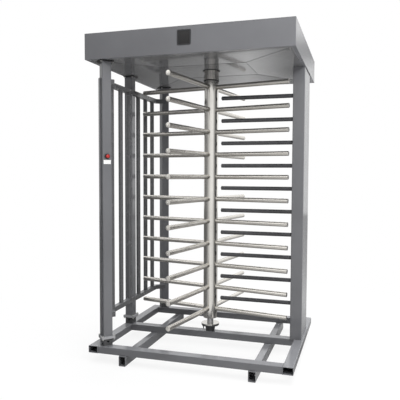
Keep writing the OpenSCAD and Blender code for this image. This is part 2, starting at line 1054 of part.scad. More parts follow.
module arm_caps() {
    color(steel)
        for (a = [0, 90, 180, 270])
            rotate(rest_angle + a)
                for (i = [0 : arm_levels - 1])
                    translate([arm_tube_r, 0, arm_z0 + i * arm_pitch])
                        end_cap(arm_d, arm_t, cap_t, cap_crown, cap_plug);
}

// Index disc with its centring cam on one hub
cam_up = 4;
cam_z = disc_z + disc_t + cam_up;
hub_r = 50;
nose_r = 8;
groove_r = 12;

module index_disc() {
    color(bright)
        difference() {
            union() {
                translate([0, 0, disc_z])
                    cylinder(r = disc_r, h = disc_t);
                translate([0, 0, disc_z])
                    cylinder(r = hub_r, h = disc_t + cam_up);
                translate([0, 0, cam_z])
                    cylinder(r = cam_r, h = cam_t);
            }
            translate([0, 0, disc_z - over])
                cylinder(r = upper_d / 2 + fit, h = disc_t + cam_up + cam_t + 2 * over);
            for (a = [0, 90, 180, 270])
                rotate(a) {
                    translate([disc_r - notch_depth, -notch_w / 2, disc_z - over])
                        cube([notch_depth + over, notch_w, disc_t + over + cam_up / 2]);
                    translate([cam_r - valley - seat_gap + groove_r, 0, cam_z - cam_up / 2])
                        cylinder(r = groove_r, h = cam_t + cam_up);
                }
        }
}

// Pawls: the entry pawl is at the front, the exit pawl is the same turned by half a turn
tooth_w = 12;
tooth_shift = 3;
pawl_h = 12;
pawl_z = disc_z + (disc_t - pawl_h) / 2;
pawl_bar = 16;
tooth_h = 12;
pawl_y = -(disc_r + pawl_gap + tooth_h + pawl_bar / 2);
pawl_hub_r = 14;
tail_end_r = 9;
tail_w = 13;
link_r = 4;
link_gap = 0.4;
slot_half = 2;
plunger_x = pawl_x + tail_l;

module pawl() {
    color("#b08d3e")
        difference() {
            union() {
                translate([pawl_x, pawl_y, pawl_z])
                    cylinder(r = pawl_hub_r, h = pawl_h);
                translate([-tooth_shift - tooth_w / 2, pawl_y - pawl_bar / 2, pawl_z])
                    cube([pawl_x + tooth_shift + tooth_w / 2, pawl_bar, pawl_h]);
                translate([-tooth_shift - tooth_w / 2, pawl_y, pawl_z])
                    cube([tooth_w, pawl_bar / 2 + tooth_h, pawl_h]);
                translate([pawl_x, pawl_y - tail_w / 2, pawl_z])
                    cube([tail_l, tail_w, pawl_h]);
                translate([plunger_x, pawl_y, pawl_z])
                    cylinder(r = tail_end_r, h = pawl_h);
            }
            translate([pawl_x, pawl_y, pawl_z - over])
                cylinder(r = pivot_d / 2 + fit, h = pawl_h + 2 * over);
            translate([plunger_x, pawl_y, pawl_z - over])
                linear_extrude(pawl_h + 2 * over) {
                    square([2 * slot_half, 2 * (link_r + link_gap)], center = true);
                    for (side = [-1, 1])
                        translate([side * slot_half, 0])
                            circle(link_r + link_gap);
                }
        }
}

module pawl_entry() {
    pawl();
}

module pawl_exit() {
    rotate(180) pawl();
}

pin_head_r = 11;
pin_head_t = 3;

module pawl_pins() {
    color(bright)
        for (a = [0, 180])
            rotate(a)
                translate([pawl_x, pawl_y, 0]) {
                    translate([0, 0, pawl_z - hole_gap - pin_head_t])
                        cylinder(r = pin_head_r, h = pin_head_t);
                    translate([0, 0, pawl_z - hole_gap - pin_head_t])
                        cylinder(d = pivot_d, h = plate_z - pawl_z + hole_gap + pin_head_t);
                    translate([0, 0, pawl_z + pawl_h + hole_gap])
                        cylinder(r = pin_head_r, h = plate_z - pawl_z - pawl_h - hole_gap);
                }
}

// Solenoids hang from the bearing plate, their plungers forked over the pawls' tails
rod_r = 6;
fork_w = 14;
fork_wall = 5;
fork_back = 12;
fork_root = 6;
fork_front = 7;
fork_gap = 0.6;
throw_gap = 10;
rod_in = 30;
link_z = pawl_z + pawl_h / 2;
solenoid_y = pawl_y + fork_back + fork_root + throw_gap;
solenoid_foot_w = 28;

module solenoid() {
    color("#3b4a3f")
        difference() {
            union() {
                translate([plunger_x, solenoid_y, link_z])
                    rotate([-90, 0, 0])
                        cylinder(d = solenoid_d, h = solenoid_l);
                translate([plunger_x - solenoid_foot_w / 2, solenoid_y, link_z])
                    cube([solenoid_foot_w, solenoid_l, plate_z - link_z]);
            }
            translate([plunger_x, solenoid_y - over, link_z])
                rotate([-90, 0, 0])
                    cylinder(r = rod_r + fit, h = rod_in + 2 * over);
        }
}

module solenoid_entry() {
    solenoid();
}

module solenoid_exit() {
    rotate(180) solenoid();
}

module plunger() {
    fork_h = pawl_h + 2 * (fork_gap + fork_wall);
    slot_h = pawl_h + 2 * fork_gap;
    color(steel)
        union() {
            difference() {
                translate([plunger_x - fork_w / 2, pawl_y - fork_front, link_z - fork_h / 2])
                    cube([fork_w, fork_front + fork_back + fork_root, fork_h]);
                translate([plunger_x - fork_w / 2 - over, pawl_y - fork_front - over, link_z - slot_h / 2])
                    cube([fork_w + 2 * over, fork_front + fork_back + over, slot_h]);
            }
            translate([plunger_x, pawl_y, link_z - fork_h / 2])
                cylinder(r = link_r, h = fork_h);
            translate([plunger_x, pawl_y + fork_back, link_z])
                rotate([-90, 0, 0])
                    cylinder(r = rod_r, h = fork_root + throw_gap + rod_in);
        }
}

module plunger_entry() {
    plunger();
}

module plunger_exit() {
    rotate(180) plunger();
}

// Centring plunger on the +X side of the cam, drawn on a lobe
cam_mid = cam_z + cam_t / 2;
barrel_d = 34;
barrel_l = 50;
barrel_x = disc_r + 3 * over;
barrel_foot_w = 24;
barrel_floor = 5;

module centring_barrel() {
    color(dark_paint)
        difference() {
            union() {
                translate([barrel_x, 0, cam_mid])
                    rotate([0, 90, 0])
                        cylinder(d = barrel_d, h = barrel_l);
                translate([barrel_x, -barrel_foot_w / 2, cam_mid])
                    cube([barrel_l, barrel_foot_w, plate_z - cam_mid]);
            }
            translate([barrel_x - over, 0, cam_mid])
                rotate([0, 90, 0])
                    cylinder(r = nose_r + fit, h = barrel_l - barrel_floor + over);
        }
}

module centring_plunger() {
    nose_x = cam_r + seat_gap;
    stem = barrel_l - 2 * barrel_floor;
    color(steel)
        translate([nose_x + nose_r, 0, cam_mid])
            rotate([0, 90, 0])
                union() {
                    sphere(nose_r);
                    cylinder(r = nose_r, h = barrel_x + stem - nose_x - nose_r);
                }
}

box_x = -480;
box_w = 220;
box_h = 58;
box_wall = 3;
gland_r = 10;
gland_pitch = 60;

module control_box() {
    color(dark_paint)
        difference() {
            translate([box_x, -beam_reach, plate_z])
                cube([box_w, 2 * beam_reach, box_h]);
            translate([box_x + box_wall, -beam_reach + box_wall, plate_z + box_wall])
                cube([box_w - 2 * box_wall, 2 * (beam_reach - box_wall), box_h - 2 * box_wall]);
            for (y = [-gland_pitch, 0, gland_pitch])
                translate([box_x - over, y, plate_z + box_h / 2])
                    rotate([0, 90, 0])
                        cylinder(r = gland_r, h = box_wall + 2 * over);
        }
}

// Push button on the front left post's face that looks at the lane
button_z = base_top + button_h;
button_base_h = 8;
button_out = 21;

module at_button() {
    at_post(0)
        translate([0, -post_w / 2, button_z])
            rotate([90, 0, 0])
                children();
}

module button_base() {
    color(black)
        at_button()
            linear_extrude(button_base_h)
                difference() {
                    circle(d = button_base_d);
                    circle(button_d / 2 + 2 * fit);
                }
}

module push_button() {
    back = button_travel + seat_gap;
    head_crown = 1.5;
    color("#b3221e")
        at_button()
            translate([0, 0, back])
                union() {
                    cylinder(d = button_d, h = button_out - head_crown - back);
                    translate([0, 0, button_out - head_crown - back])
                        cylinder(r1 = button_d / 2, r2 = button_d / 2 - head_crown, h = head_crown);
                }
}

label_t = 1;
label_drop = 37;

module label_plate() {
    color("#2b2c2e")
        at_button()
            translate([0, -label_drop, label_t / 2])
                cube([label_w, label_h, label_t], center = true);
}

skid_left();
skid_right();
side_rail_left();
side_rail_right();
front_rail();
middle_rail();
rear_rail();
foot_front_left();
foot_middle_left();
foot_rear_left();
post_front_left();
post_middle_left();
post_rear_left();
right_post();
post_bolts();
comb_bars();
comb_caps();
cage_top_rail();
cage_bottom_rail();
cage_bars();
fixing_strip();
header_shell();
header_lid();
header_soffit();
display_bezel();
display_window();
left_header_plate();
right_header_plate();
beam_front();
beam_rear();
bearing_plate();
upper_bearing_housing();
upper_bearing();
pawl_pins();
solenoid_entry();
solenoid_exit();
centring_barrel();
control_box();
pedestal();
lower_bearing();
bearing_cover();
bearing_bolts();
button_base();
label_plate();
column();
column_collar();
top_spindle();
bottom_spindle();
wing_right();
wing_rear();
wing_left();
wing_front();
arm_caps();
index_disc();
pawl_entry();
pawl_exit();
plunger_entry();
plunger_exit();
centring_plunger();
push_button();
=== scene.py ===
"""Looks of the full height turnstile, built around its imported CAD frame.

Metres throughout, in the CAD frame: X across the lane, Y through it with the
front at -Y, Z up, and the rotor's axis on the Z axis. Each sub-assembly is a
class with its sizes as fields; each finish is a small frozen class.
"""
from __future__ import annotations

import logging
import math
from dataclasses import dataclass
from enum import Enum
from typing import Callable, Mapping, Optional, Sequence, Union

import bmesh
import bpy
from mathutils import Matrix, Vector


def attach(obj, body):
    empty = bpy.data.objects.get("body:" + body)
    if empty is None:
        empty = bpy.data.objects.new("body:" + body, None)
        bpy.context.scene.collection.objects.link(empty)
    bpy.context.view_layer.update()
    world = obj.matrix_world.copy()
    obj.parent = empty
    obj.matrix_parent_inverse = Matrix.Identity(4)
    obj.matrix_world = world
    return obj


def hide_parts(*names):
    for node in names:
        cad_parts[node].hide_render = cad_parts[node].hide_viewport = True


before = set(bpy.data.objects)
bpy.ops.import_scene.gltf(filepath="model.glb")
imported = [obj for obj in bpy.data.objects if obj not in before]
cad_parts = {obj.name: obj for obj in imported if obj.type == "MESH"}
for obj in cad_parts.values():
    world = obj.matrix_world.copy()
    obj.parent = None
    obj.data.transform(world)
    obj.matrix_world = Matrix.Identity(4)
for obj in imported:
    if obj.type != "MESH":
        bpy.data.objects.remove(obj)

LOG = logging.getLogger("turnstile")
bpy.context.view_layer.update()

BMesh = bmesh.types.BMesh
Ring = Sequence[bmesh.types.BMVert]
Node = bpy.types.Node
Socket = bpy.types.NodeSocket
Tree = bpy.types.NodeTree
Span = tuple[float, float]
Pair = tuple[float, float]
Colour = tuple[float, float, float]
Point = tuple[float, float, float]
Size = tuple[float, float, float]
Band = tuple[float, float, Colour]
Profile = Sequence[Pair]
Input = Union[Socket, float, Sequence[float]]
Key = Union[str, int]
Feed = Mapping[Key, Input]
Given = Mapping[str, Socket]

WHOLE: Span = (0.0, 1.0)
SOFT_ANGLE = math.radians(35.0)
BEVEL_ANGLE = math.radians(50.0)
BEVEL_SEGMENTS = 2
JOINED_REACH = 0.00001
BEAD_SIDES = 6
# Turn in radians of a bead's ripple from one point of its path to the next.
RIPPLE_TURN = 2.4
# Share of Z above which a path counts as upright.
STEEP = 0.9
NOISE_CORE: Span = (0.3, 0.7)
# The colour sockets of the mix node share their names, so they go by index.
MIX_A, MIX_B, MIX_RESULT = 6, 7, 2
# Glossy depth above which a ray sees an image of an image.
FIRST_IMAGE = 1.5
CORNERS = ((-1, -1), (1, -1), (1, 1), (-1, 1))


class Body(str, Enum):
    """Bodies that carry the scene's own pieces."""

    FRAME = "frame"
    ROTOR = "rotor"
    BUTTON = "push_button_body"


class Grain(Enum):
    """Direction in which a metal surface was ground or drawn."""

    ALONG_Z = (1.0, 1.0, 0.02)
    ROUND_Z = (0.05, 0.05, 1.0)
    FLAT_X = (0.03, 1.0, 1.0)
    NONE = (1.0, 1.0, 1.0)


# Shader graphs


def rgba(colour: Input) -> Input:
    """Give a plain colour its alpha and pass a socket through."""
    if isinstance(colour, Socket) or len(colour) == 4:
        return colour
    return (*colour, 1.0)


def grey(level: float) -> tuple[float, float, float, float]:
    """Make an opaque grey."""
    return (level, level, level, 1.0)


def shade(colour: Colour, factor: float) -> Colour:
    """Scale a colour, kept within 0 and 1."""
    return tuple(min(1.0, c * factor) for c in colour)


class Graph:
    """A shader node tree, with short ways to fill it."""

    def __init__(self, tree: Tree) -> None:
        """Take the tree that gets the nodes."""
        self.tree = tree

    def feed(self, node: Node, inputs: Feed) -> None:
        """Link or set a node's inputs.

        Args:
            node: Node that is fed.
            inputs: Socket or plain value of each input, by its name or index.
        """
        for key, source in inputs.items():
            if isinstance(source, Socket):
                self.tree.links.new(source, node.inputs[key])
            else:
                node.inputs[key].default_value = source

    def add(self, kind: str, inputs: Optional[Feed] = None, output: Key = 0,
            **values: object) -> Socket:
        """Add a node and feed it.

        Args:
            kind: Blender's node type.
            inputs: Socket or plain value of each input, by its name or index.
            output: Name or index of the output that is wanted.
            values: Plain properties of the node, by name.

        Returns:
            The wanted output.
        """
        node = self.tree.nodes.new(kind)
        for name, value in values.items():
            setattr(node, name, value)
        self.feed(node, inputs or {})
        return node.outputs[output]

    def group(self, effect: Effect, **values: Input) -> Socket:
        """Put a shared effect in, with the values of its inputs, and give its output."""
        return self.add("ShaderNodeGroup", values, node_tree=effect.tree())

    def place(self) -> Socket:
        """Give the place on the object."""
        return self.add("ShaderNodeTexCoord", output="Object")

    def part(self, vector: Socket, axis: str) -> Socket:
        """Take X, Y or Z out of a vector."""
        return self.add("ShaderNodeSeparateXYZ", {0: vector}, axis)

    def calc(self, operation: str, a: Input, b: Input = 0.0, clamp: bool = False) -> Socket:
        """Combine two values, clamped between 0 and 1 where asked."""
        return self.add("ShaderNodeMath", {0: a, 1: b}, operation=operation, use_clamp=clamp)

    def span(self, value: Socket, source: Span, target: tuple[Input, Input]) -> Socket:
        """Map a varying value from one span onto another, clamped.

        Args:
            value: Value that varies.
            source: Its span.
            target: What the two ends of that span become.

        Returns:
            The mapped value.
        """
        inputs = {"Value": value, "From Min": source[0], "From Max": source[1],
                  "To Min": target[0], "To Max": target[1]}
        return self.add("ShaderNodeMapRange", inputs, "Result")

    def mix(self, share: Input, a: Input, b: Input) -> Socket:
        """Mix two colours by the share of the second."""
        inputs = {0: share, MIX_A: rgba(a), MIX_B: rgba(b)}
        return self.add("ShaderNodeMix", inputs, MIX_RESULT, data_type="RGBA")

    def blend(self, share: Input, a: Socket, b: Socket) -> Socket:
        """Mix two shaders by the share of the second."""
        return self.add("ShaderNodeMixShader", {0: share, 1: a, 2: b})

    def noise(self, scale: Input, detail: float, roughness: float = 0.5,
              place: Optional[Socket] = None) -> Socket:
        """Add a soft noise.

        Args:
            scale: Spots per metre.
            detail: Count of finer layers.
            roughness: Weight of the finer layers.
            place: Where it is read, or else on the object.

        Returns:
            The noise, from 0 to 1.
        """
        inputs = {"Vector": place or self.place(), "Scale": scale, "Detail": detail,
                  "Roughness": roughness}
        return self.add("ShaderNodeTexNoise", inputs)


class Effect:
    """Shader node group that several finishes share, built once.

    It decorates the function that fills the group, which takes the group's graph and
    the sockets of its inputs and gives the output.
    """

    def __init__(self, name: str, output: str, **inputs: Input) -> None:
        """Keep the names of the group and its output, and its inputs' defaults."""
        self.name, self.output, self.inputs = name, output, inputs

    def __call__(self, fill: Callable[[Graph, Given], Socket]) -> Effect:
        """Keep the function that turns the inputs into the output."""
        self.fill = fill
        return self

    def tree(self) -> Tree:
        """Give the group, building it the first time."""
        tree = bpy.data.node_groups.get(self.name)
        if tree is None:
            tree = bpy.data.node_groups.new(self.name, "ShaderNodeTree")
            for label, default in self.inputs.items():
                kind = "Vector" if isinstance(default, tuple) else "Float"
                item = tree.interface.new_socket(label, socket_type=f"NodeSocket{kind}")
                item.default_value = default
            tree.interface.new_socket(self.output, in_out="OUTPUT")
            graph, given = Graph(tree), tree.nodes.new("NodeGroupInput").outputs
            leave = tree.nodes.new("NodeGroupOutput")
            graph.feed(leave, {self.output: self.fill(graph, given)})
        return tree


@Effect("Orange peel", "Height", Scale=600.0)
def orange_peel(graph: Graph, given: Given, finer: float = 4.3,
                share: float = 0.35) -> Socket:
    """Fine waves of a sprayed or powdered coat, of a coarse and a fine noise."""
    coarse = graph.noise(given["Scale"], detail=2.0)
    fine = graph.noise(graph.calc("MULTIPLY", given["Scale"], finer), detail=1.0)
    return graph.calc("ADD", coarse, graph.calc("MULTIPLY", fine, share))


@Effect("Mottle", "Value", Scale=4.0, Low=0.0, High=1.0)
def mottle(graph: Graph, given: Given) -> Socket:
    """Slow change over a surface, between a low and a high value."""
    cloud = graph.noise(given["Scale"], detail=4.0, roughness=0.55)
    return graph.span(cloud, NOISE_CORE, (given["Low"], given["High"]))


@Effect("Drawn lines", "Value", Stretch=Grain.NONE.value, Scale=400.0, Low=0.0, High=1.0)
def drawn_lines(graph: Graph, given: Given) -> Socket:
    """Fine lines of drawn, ground or turned metal: a noise squeezed along the grain."""
    inputs = {0: graph.place(), 1: given["Stretch"]}
    squeezed = graph.add("ShaderNodeVectorMath", inputs, operation="MULTIPLY")
    lines = graph.noise(given["Scale"], detail=5.0, roughness=0.7, place=squeezed)
    return graph.span(lines, NOISE_CORE, (given["Low"], given["High"]))


# Lightens faces that look up: partly dust, partly painted top light.
@Effect("Dust and painted top light", "Mask", Amount=0.2)
def top_light_and_dust(graph: Graph, given: Given, facing: Span = (0.55, 1.0),
                 cover: Span = (0.82, 1.0)) -> Socket:
    """Dust and painted top light on faces that look up, broken by a noise."""
    normal = graph.add("ShaderNodeNewGeometry", output="Normal")
    up = graph.span(graph.part(normal, "Z"), facing, WHOLE)
    cloud = graph.noise(scale=7.0, detail=6.0)
    patch = graph.span(cloud, NOISE_CORE, cover)
    return graph.calc("MULTIPLY", graph.calc("MULTIPLY", up, patch), given["Amount"], True)


@Effect("Height band", "Mask", Low=0.0, High=1.0)
def height_band(graph: Graph, given: Given) -> Socket:
    """Mask of what lies between two heights, such as a flange or a foot plate."""
    height = graph.part(graph.place(), "Z")
    above = graph.calc("GREATER_THAN", height, given["Low"])
    below = graph.calc("LESS_THAN", height, given["High"])
    return graph.calc("MULTIPLY", above, below)


# Finishes


@dataclass(frozen=True)
class Finish:
    """Base of the finishes: makes its material once and hands it out.

    The colour swings by the share cloud, and the roughness between its two
    values, over soft spots. Fine waves or lines cover the skin. Scales are per
    metre.
    """

    name: str
    colour: Colour
    roughness: Span = (0.35, 0.48)
    gloss_scale: float = 90.0
    cloud: float = 0.07
    cloud_scale: float = 60.0
    skin_scale: float = 2600.0
    skin_depth: float = 0.00003
    # Amount and colour of dust on faces that look up, which also paints top light on them.
    dust_and_top_light: float = 0.0
    dust_and_top_light_colour: Colour = (0.54, 0.55, 0.58)

    def material(self) -> bpy.types.Material:
        """Give the finish's material, building it the first time."""
        made = bpy.data.materials.get(self.name)
        if made is None:
            made = bpy.data.materials.new(self.name)
            made.use_nodes = True
            made.diffuse_color = rgba(self.colour)
            graph = Graph(made.node_tree)
            graph.feed(made.node_tree.nodes["Principled BSDF"], self.inputs(graph))
        return made

    def inputs(self, graph: Graph) -> Feed:
        """Make the nodes between the surface and the shader.

        Args:
            graph: Graph of the material, which gets the nodes.

        Returns:
            What feeds each input of the shader that isn't left as it is.
        """
        waves = graph.group(orange_peel, Scale=self.skin_scale)
        return {"Base Color": self.tone(graph), "Roughness": self.gloss(graph),
                "Normal": self.bump(graph, waves)}

    def tone(self, graph: Graph) -> Socket:
        """Give the colour, which swings softly over the surface."""
        share = graph.group(mottle, Scale=self.cloud_scale, Low=0.0, High=1.0)
        return graph.mix(share, shade(self.colour, 1 - self.cloud),
                         shade(self.colour, 1 + self.cloud))

    def dusted_and_top_lit(self, graph: Graph, colour: Input) -> Socket:
        """Lay the dust, with its painted top light, over a colour."""
        dust_and_top_light = graph.group(top_light_and_dust, Amount=self.dust_and_top_light)
        return graph.mix(dust_and_top_light, colour, self.dust_and_top_light_colour)

    def gloss(self, graph: Graph) -> Socket:
        """Give the roughness, which swings softly over the surface."""
        low, high = self.roughness
        return graph.group(mottle, Scale=self.gloss_scale, Low=low, High=high)

    def bump(self, graph: Graph, height: Socket) -> Socket:
        """Turn the skin's height, from 0 to 1, into a normal."""
        return graph.add("ShaderNodeBump", {"Distance": self.skin_depth, "Height": height})


@dataclass(frozen=True)
class Coat(Finish):
    """Powder coat or paint on steel: faint clouds, orange peel, and dust with painted top light
    on faces that look up.

    A band has another colour between two heights; some bands are painted shade.
    """

    roughness: Span = (0.13, 0.18)
    gloss_scale: float = 11.0
    cloud: float = 0.06
    cloud_scale: float = 3.1
    skin_scale: float = 520.0
    skin_depth: float = 0.00001
    dust_and_top_light: float = 0.26
    bands: tuple[Band, ...] = ()

    def tone(self, graph: Graph) -> Socket:
        """Give the clouded colour with its bands, under the dust and its painted top light."""
        colour = super().tone(graph)
        for low, high, own in self.bands:
            colour = graph.mix(graph.group(height_band, Low=low, High=high), colour, own)
        return self.dusted_and_top_lit(graph, colour)


@dataclass(frozen=True)
class Metal(Finish):
    """Bare metal with a grain: stainless, machined steel, zinc or brass."""

    cloud: float = 0.05
    cloud_scale: float = 7.0
    skin_scale: float = 700.0
    skin_depth: float = 0.00001
    grain: Grain = Grain.NONE

    def inputs(self, graph: Graph) -> Feed:
        """Let the grain's lines vary the roughness and the height."""
        low, high = self.roughness
        lines = graph.group(drawn_lines, Stretch=self.grain.value, Scale=self.skin_scale,
                            Low=low, High=high)
        height = graph.span(lines, self.roughness, WHOLE)
        return {"Base Color": self.tone(graph), "Metallic": 1.0, "Roughness": lines,
                "Normal": self.bump(graph, height)}


@dataclass(frozen=True)
class CastIron(Finish):
    """Black paint over a sand casting, with its pebbled skin."""

    roughness: Span = (0.42, 0.58)
    gloss_scale: float = 40.0
    skin_scale: float = 240.0
    skin_depth: float = 0.0005
    dust_and_top_light: float = 0.22
    dust_and_top_light_colour: Colour = (0.32, 0.31, 0.29)

    def tone(self, graph: Graph) -> Socket:
        """Give the plain colour under the dust and its painted top light."""
        return self.dusted_and_top_lit(graph, self.colour)


@dataclass(frozen=True)
class Plastic(Finish):
    """Moulded plastic or rubber with a fine grain and a few rubbed spots."""


@dataclass(frozen=True)
class DarkWindow(Finish):
    """Smoked display window with the points of an unlit matrix behind it.

    A point's soft edge is in shares of the pitch.
    """

    roughness: Span = (0.05, 0.12)
    gloss_scale: float = 30.0
    pitch: float = 0.004
    point_edge: Span = (0.16, 0.22)
    point_colour: Colour = (0.022, 0.020, 0.019)

    def inputs(self, graph: Graph) -> Feed:
        """Draw the points, under a smooth skin."""
        place = graph.place()
        squares: list[Socket] = []
        for axis in ("X", "Z"):
            cell = graph.calc("PINGPONG", graph.part(place, axis), self.pitch / 2)
            off = graph.calc("SUBTRACT", cell, self.pitch / 4)
            squares.append(graph.calc("MULTIPLY", off, off))
        reach = graph.calc("SQRT", graph.calc("ADD", *squares))
        inner, outer = self.point_edge
        point = graph.span(reach, (self.pitch * inner, self.pitch * outer), (1.0, 0.0))
        return {"Base Color": graph.mix(point, self.colour, self.point_colour),
                "Roughness": self.gloss(graph)}


GREY: Colour = (0.137, 0.138, 0.146)
# Painted shade: a dark band on the foot stubs under the plates.
SHADED_STUBS: Band = (0.1255, 0.1755, (0.060, 0.060, 0.062))
FOOT_PLATES: Band = (0.1755, 0.1925, (0.32, 0.32, 0.33))
# Black band on the top flanges, partly painted shade under the header.
BLACK_AND_SHADED_FLANGES: Band = (2.1075, 2.1245, (0.012, 0.012, 0.013))
SATIN: Span = (0.22, 0.30)


@dataclass(frozen=True)
class FinishSet:
    """All finishes of the turnstile."""

    frame_coat: Coat = Coat("Frame coat", GREY)
    post_coat: Coat = Coat("Post coat", GREY, bands=(BLACK_AND_SHADED_FLANGES, FOOT_PLATES))
    foot_coat: Coat = Coat("Foot coat", GREY, bands=(SHADED_STUBS, FOOT_PLATES))
    guard_coat: Coat = Coat(
        "Guard coat", (0.092, 0.092, 0.096), SATIN, skin_depth=0.00002, dust_and_top_light=0.25)
    comb_coat: Coat = Coat(
        "Comb coat", (0.054, 0.054, 0.058), SATIN, skin_depth=0.00002, dust_and_top_light=0.14)
    soffit_coat: Coat = Coat(
        "Soffit gloss coat", (0.125, 0.125, 0.128), (0.07, 0.10), cloud=0.0,
        skin_depth=0.000003, dust_and_top_light=0.0)
    arm_steel: Metal = Metal(
        "Polished arm stainless", (0.72, 0.695, 0.65), (0.23, 0.28), skin_scale=300.0,
        skin_depth=0.000001)
    cap_steel: Metal = Metal(
        "Polished cap stainless", (0.93, 0.90, 0.85), (0.24, 0.32), skin_scale=300.0,
        skin_depth=0.000001)
    column_steel: Metal = Metal(
        "Polished column stainless", (0.74, 0.72, 0.68), (0.10, 0.17),
        skin_depth=0.000003, grain=Grain.ROUND_Z)
    collar_steel: Metal = Metal(
        "Brushed collar stainless", (0.86, 0.83, 0.79), (0.16, 0.30),
        skin_scale=420.0, skin_depth=0.000006, grain=Grain.ALONG_Z)
    turned_steel: Metal = Metal(
        "Turned steel", (0.56, 0.56, 0.57), (0.25, 0.4), skin_depth=0.00003, grain=Grain.ROUND_Z)
    zinc: Metal = Metal("Zinc plate", (0.62, 0.62, 0.60), (0.3, 0.5), cloud=0.12)
    brass: Metal = Metal("Machined brass", (0.68, 0.50, 0.22), (0.22, 0.36), grain=Grain.FLAT_X)
    black_oxide: Metal = Metal("Blackened bolt steel", (0.10, 0.10, 0.105), (0.3, 0.45))
    iron: CastIron = CastIron("Grey black casting", (0.035, 0.035, 0.037))
    rubber: Plastic = Plastic("Black seal rubber", (0.014, 0.014, 0.015), (0.5, 0.65))
    black_plastic: Plastic = Plastic("Black plastic", (0.018, 0.018, 0.02))
    box_plastic: Plastic = Plastic("Grey box plastic", (0.22, 0.23, 0.24))
    coil_plastic: Plastic = Plastic("Coil cover", (0.03, 0.045, 0.04))
    red_plastic: Plastic = Plastic("Red button plastic", (0.40, 0.026, 0.023), (0.18, 0.28))
    label_foil: Plastic = Plastic("Blank label", (0.80, 0.80, 0.79), (0.3, 0.4))
    window: DarkWindow = DarkWindow("Smoked window", (0.006, 0.0065, 0.0075))


FINISHES = FinishSet()


# Mesh helpers


def make_object(name: str, bm: BMesh, material: bpy.types.Material) -> bpy.types.Object:
    """Turn a form into an object of the scene.

    Args:
        name: Name of the mesh and the object.
        bm: Form, which is freed.
        material: Material of the whole object.

    Returns:
        The new object.
    """
    mesh = bpy.data.meshes.new(name)
    bm.to_mesh(mesh)
    bm.free()
    mesh.materials.append(material)
    made = bpy.data.objects.new(name, mesh)
    bpy.context.scene.collection.objects.link(made)
    return made


def add_piece(name: str, bm: BMesh, finish: Finish, body: Body = Body.FRAME,
              replaces: Sequence[str] = ()) -> None:
    """Put a form into the scene as one piece of the turnstile.

    Args:
        name: Piece's name.
        bm: Its form in the CAD frame, which is freed.
        finish: Finish of the whole piece.
        body: Body that it moves with.
        replaces: CAD nodes that it stands for.
    """
    bmesh.ops.recalc_face_normals(bm, faces=bm.faces)
    piece = make_object(name, bm, finish.material())
    for face in piece.data.polygons:
        face.use_smooth = True
    piece.data.set_sharp_from_angle(angle=SOFT_ANGLE)
    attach(piece, body.value)
    if replaces:
        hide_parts(*replaces)
    LOG.info("%s: %d faces", name, len(piece.data.polygons))


def circle(count: int) -> list[Pair]:
    """Cosine and sine of evenly spaced turns."""
    turns = (math.tau * i / count for i in range(count))
    return [(math.cos(turn), math.sin(turn)) for turn in turns]


def hoop(centre: Point, radius: float, across: Point, up: Point, count: int) -> list[Vector]:
    """Points round a circle in the plane of two directions."""
    return [Vector(centre) + radius * (c * Vector(across) + s * Vector(up))
            for c, s in circle(count)]


def loft(bm: BMesh, rings: Sequence[Ring], closed: bool) -> None:
    """Join rings with faces.

    Args:
        bm: Form that has the rings.
        rings: Vertices of each ring, in the same order. One vertex alone is a pole.
        closed: Whether the last ring runs back into the first. Else both ends are covered.
    """
    for low, high in zip(rings, [*rings[1:], rings[0]] if closed else rings[1:]):
        count = max(len(low), len(high))
        for i in range(count if count > 1 else 0):
            j = (i + 1) % count
            corners = (low[i % len(low)], low[j % len(low)],
                       high[j % len(high)], high[i % len(high)])
            bm.faces.new(tuple(dict.fromkeys(corners)))
    for end in () if closed else (rings[0], rings[-1]):
        if len(end) > 1:
            bm.faces.new(end)


def lathe(bm: BMesh, profile: Profile, place: Matrix, turns: int) -> None:
    """Turn a profile about the local Z axis and add it to a form.

    Args:
        bm: Form that gets it.
        profile: Radius and height of each point. It starts and ends on the axis, or runs
            back into its start.
        place: Where the local frame lies.
        turns: Faces round the form.
    """
    rings: list[Ring] = []
    for radius, height in profile:
        spots = circle(turns if radius > 0 else 1)
        rings.append([bm.verts.new(place @ Vector((radius * c, radius * s, height)))
                      for c, s in spots])
    loft(bm, rings, profile[0][0] > 0 and profile[-1][0] > 0)


def bead(bm: BMesh, path: Sequence[Vector], radius: float, closed: bool,
         ripple: float = 0.16) -> None:
    """Sweep a weld bead along a path, with the ripples of its pools.

    Args:
        bm: Form that gets the bead.
        path: Points along its middle.
        radius: Half its width.
        closed: Whether the path runs back into its start.
        ripple: Share by which the radius swings.
    """
    count = len(path)
    rings: list[Ring] = []
    for i, point in enumerate(path):
        before = path[i - 1] if closed or i else point
        after = path[(i + 1) % count] if closed or i + 1 < count else point
        ahead = (after - before).normalized()
        flat = abs(ahead.z) < STEEP
        side = (ahead.cross(Vector((0, 0, 1))) if flat else ahead.orthogonal()).normalized()
        up = ahead.cross(side)
        swell = radius * (1 + ripple * math.sin(i * RIPPLE_TURN))
        rings.append([bm.verts.new(point + swell * (c * side + s * up))
                      for c, s in circle(BEAD_SIDES)])
    loft(bm, rings, closed)


def line(a: Point, b: Point, step: float = 0.004) -> list[Vector]:
    """Points from a to b, close enough for a bead's ripples."""
    start, end = Vector(a), Vector(b)
    count = max(2, int((end - start).length / step))
    return [start.lerp(end, i / count) for i in range(count + 1)]


def loop(corners: Sequence[Point], step: float = 0.004) -> list[Vector]:
    """Points round a closed outline, without the doubled corners."""
    return [point for a, b in zip(corners, [*corners[1:], corners[0]])
            for point in line(a, b, step)[:-1]]


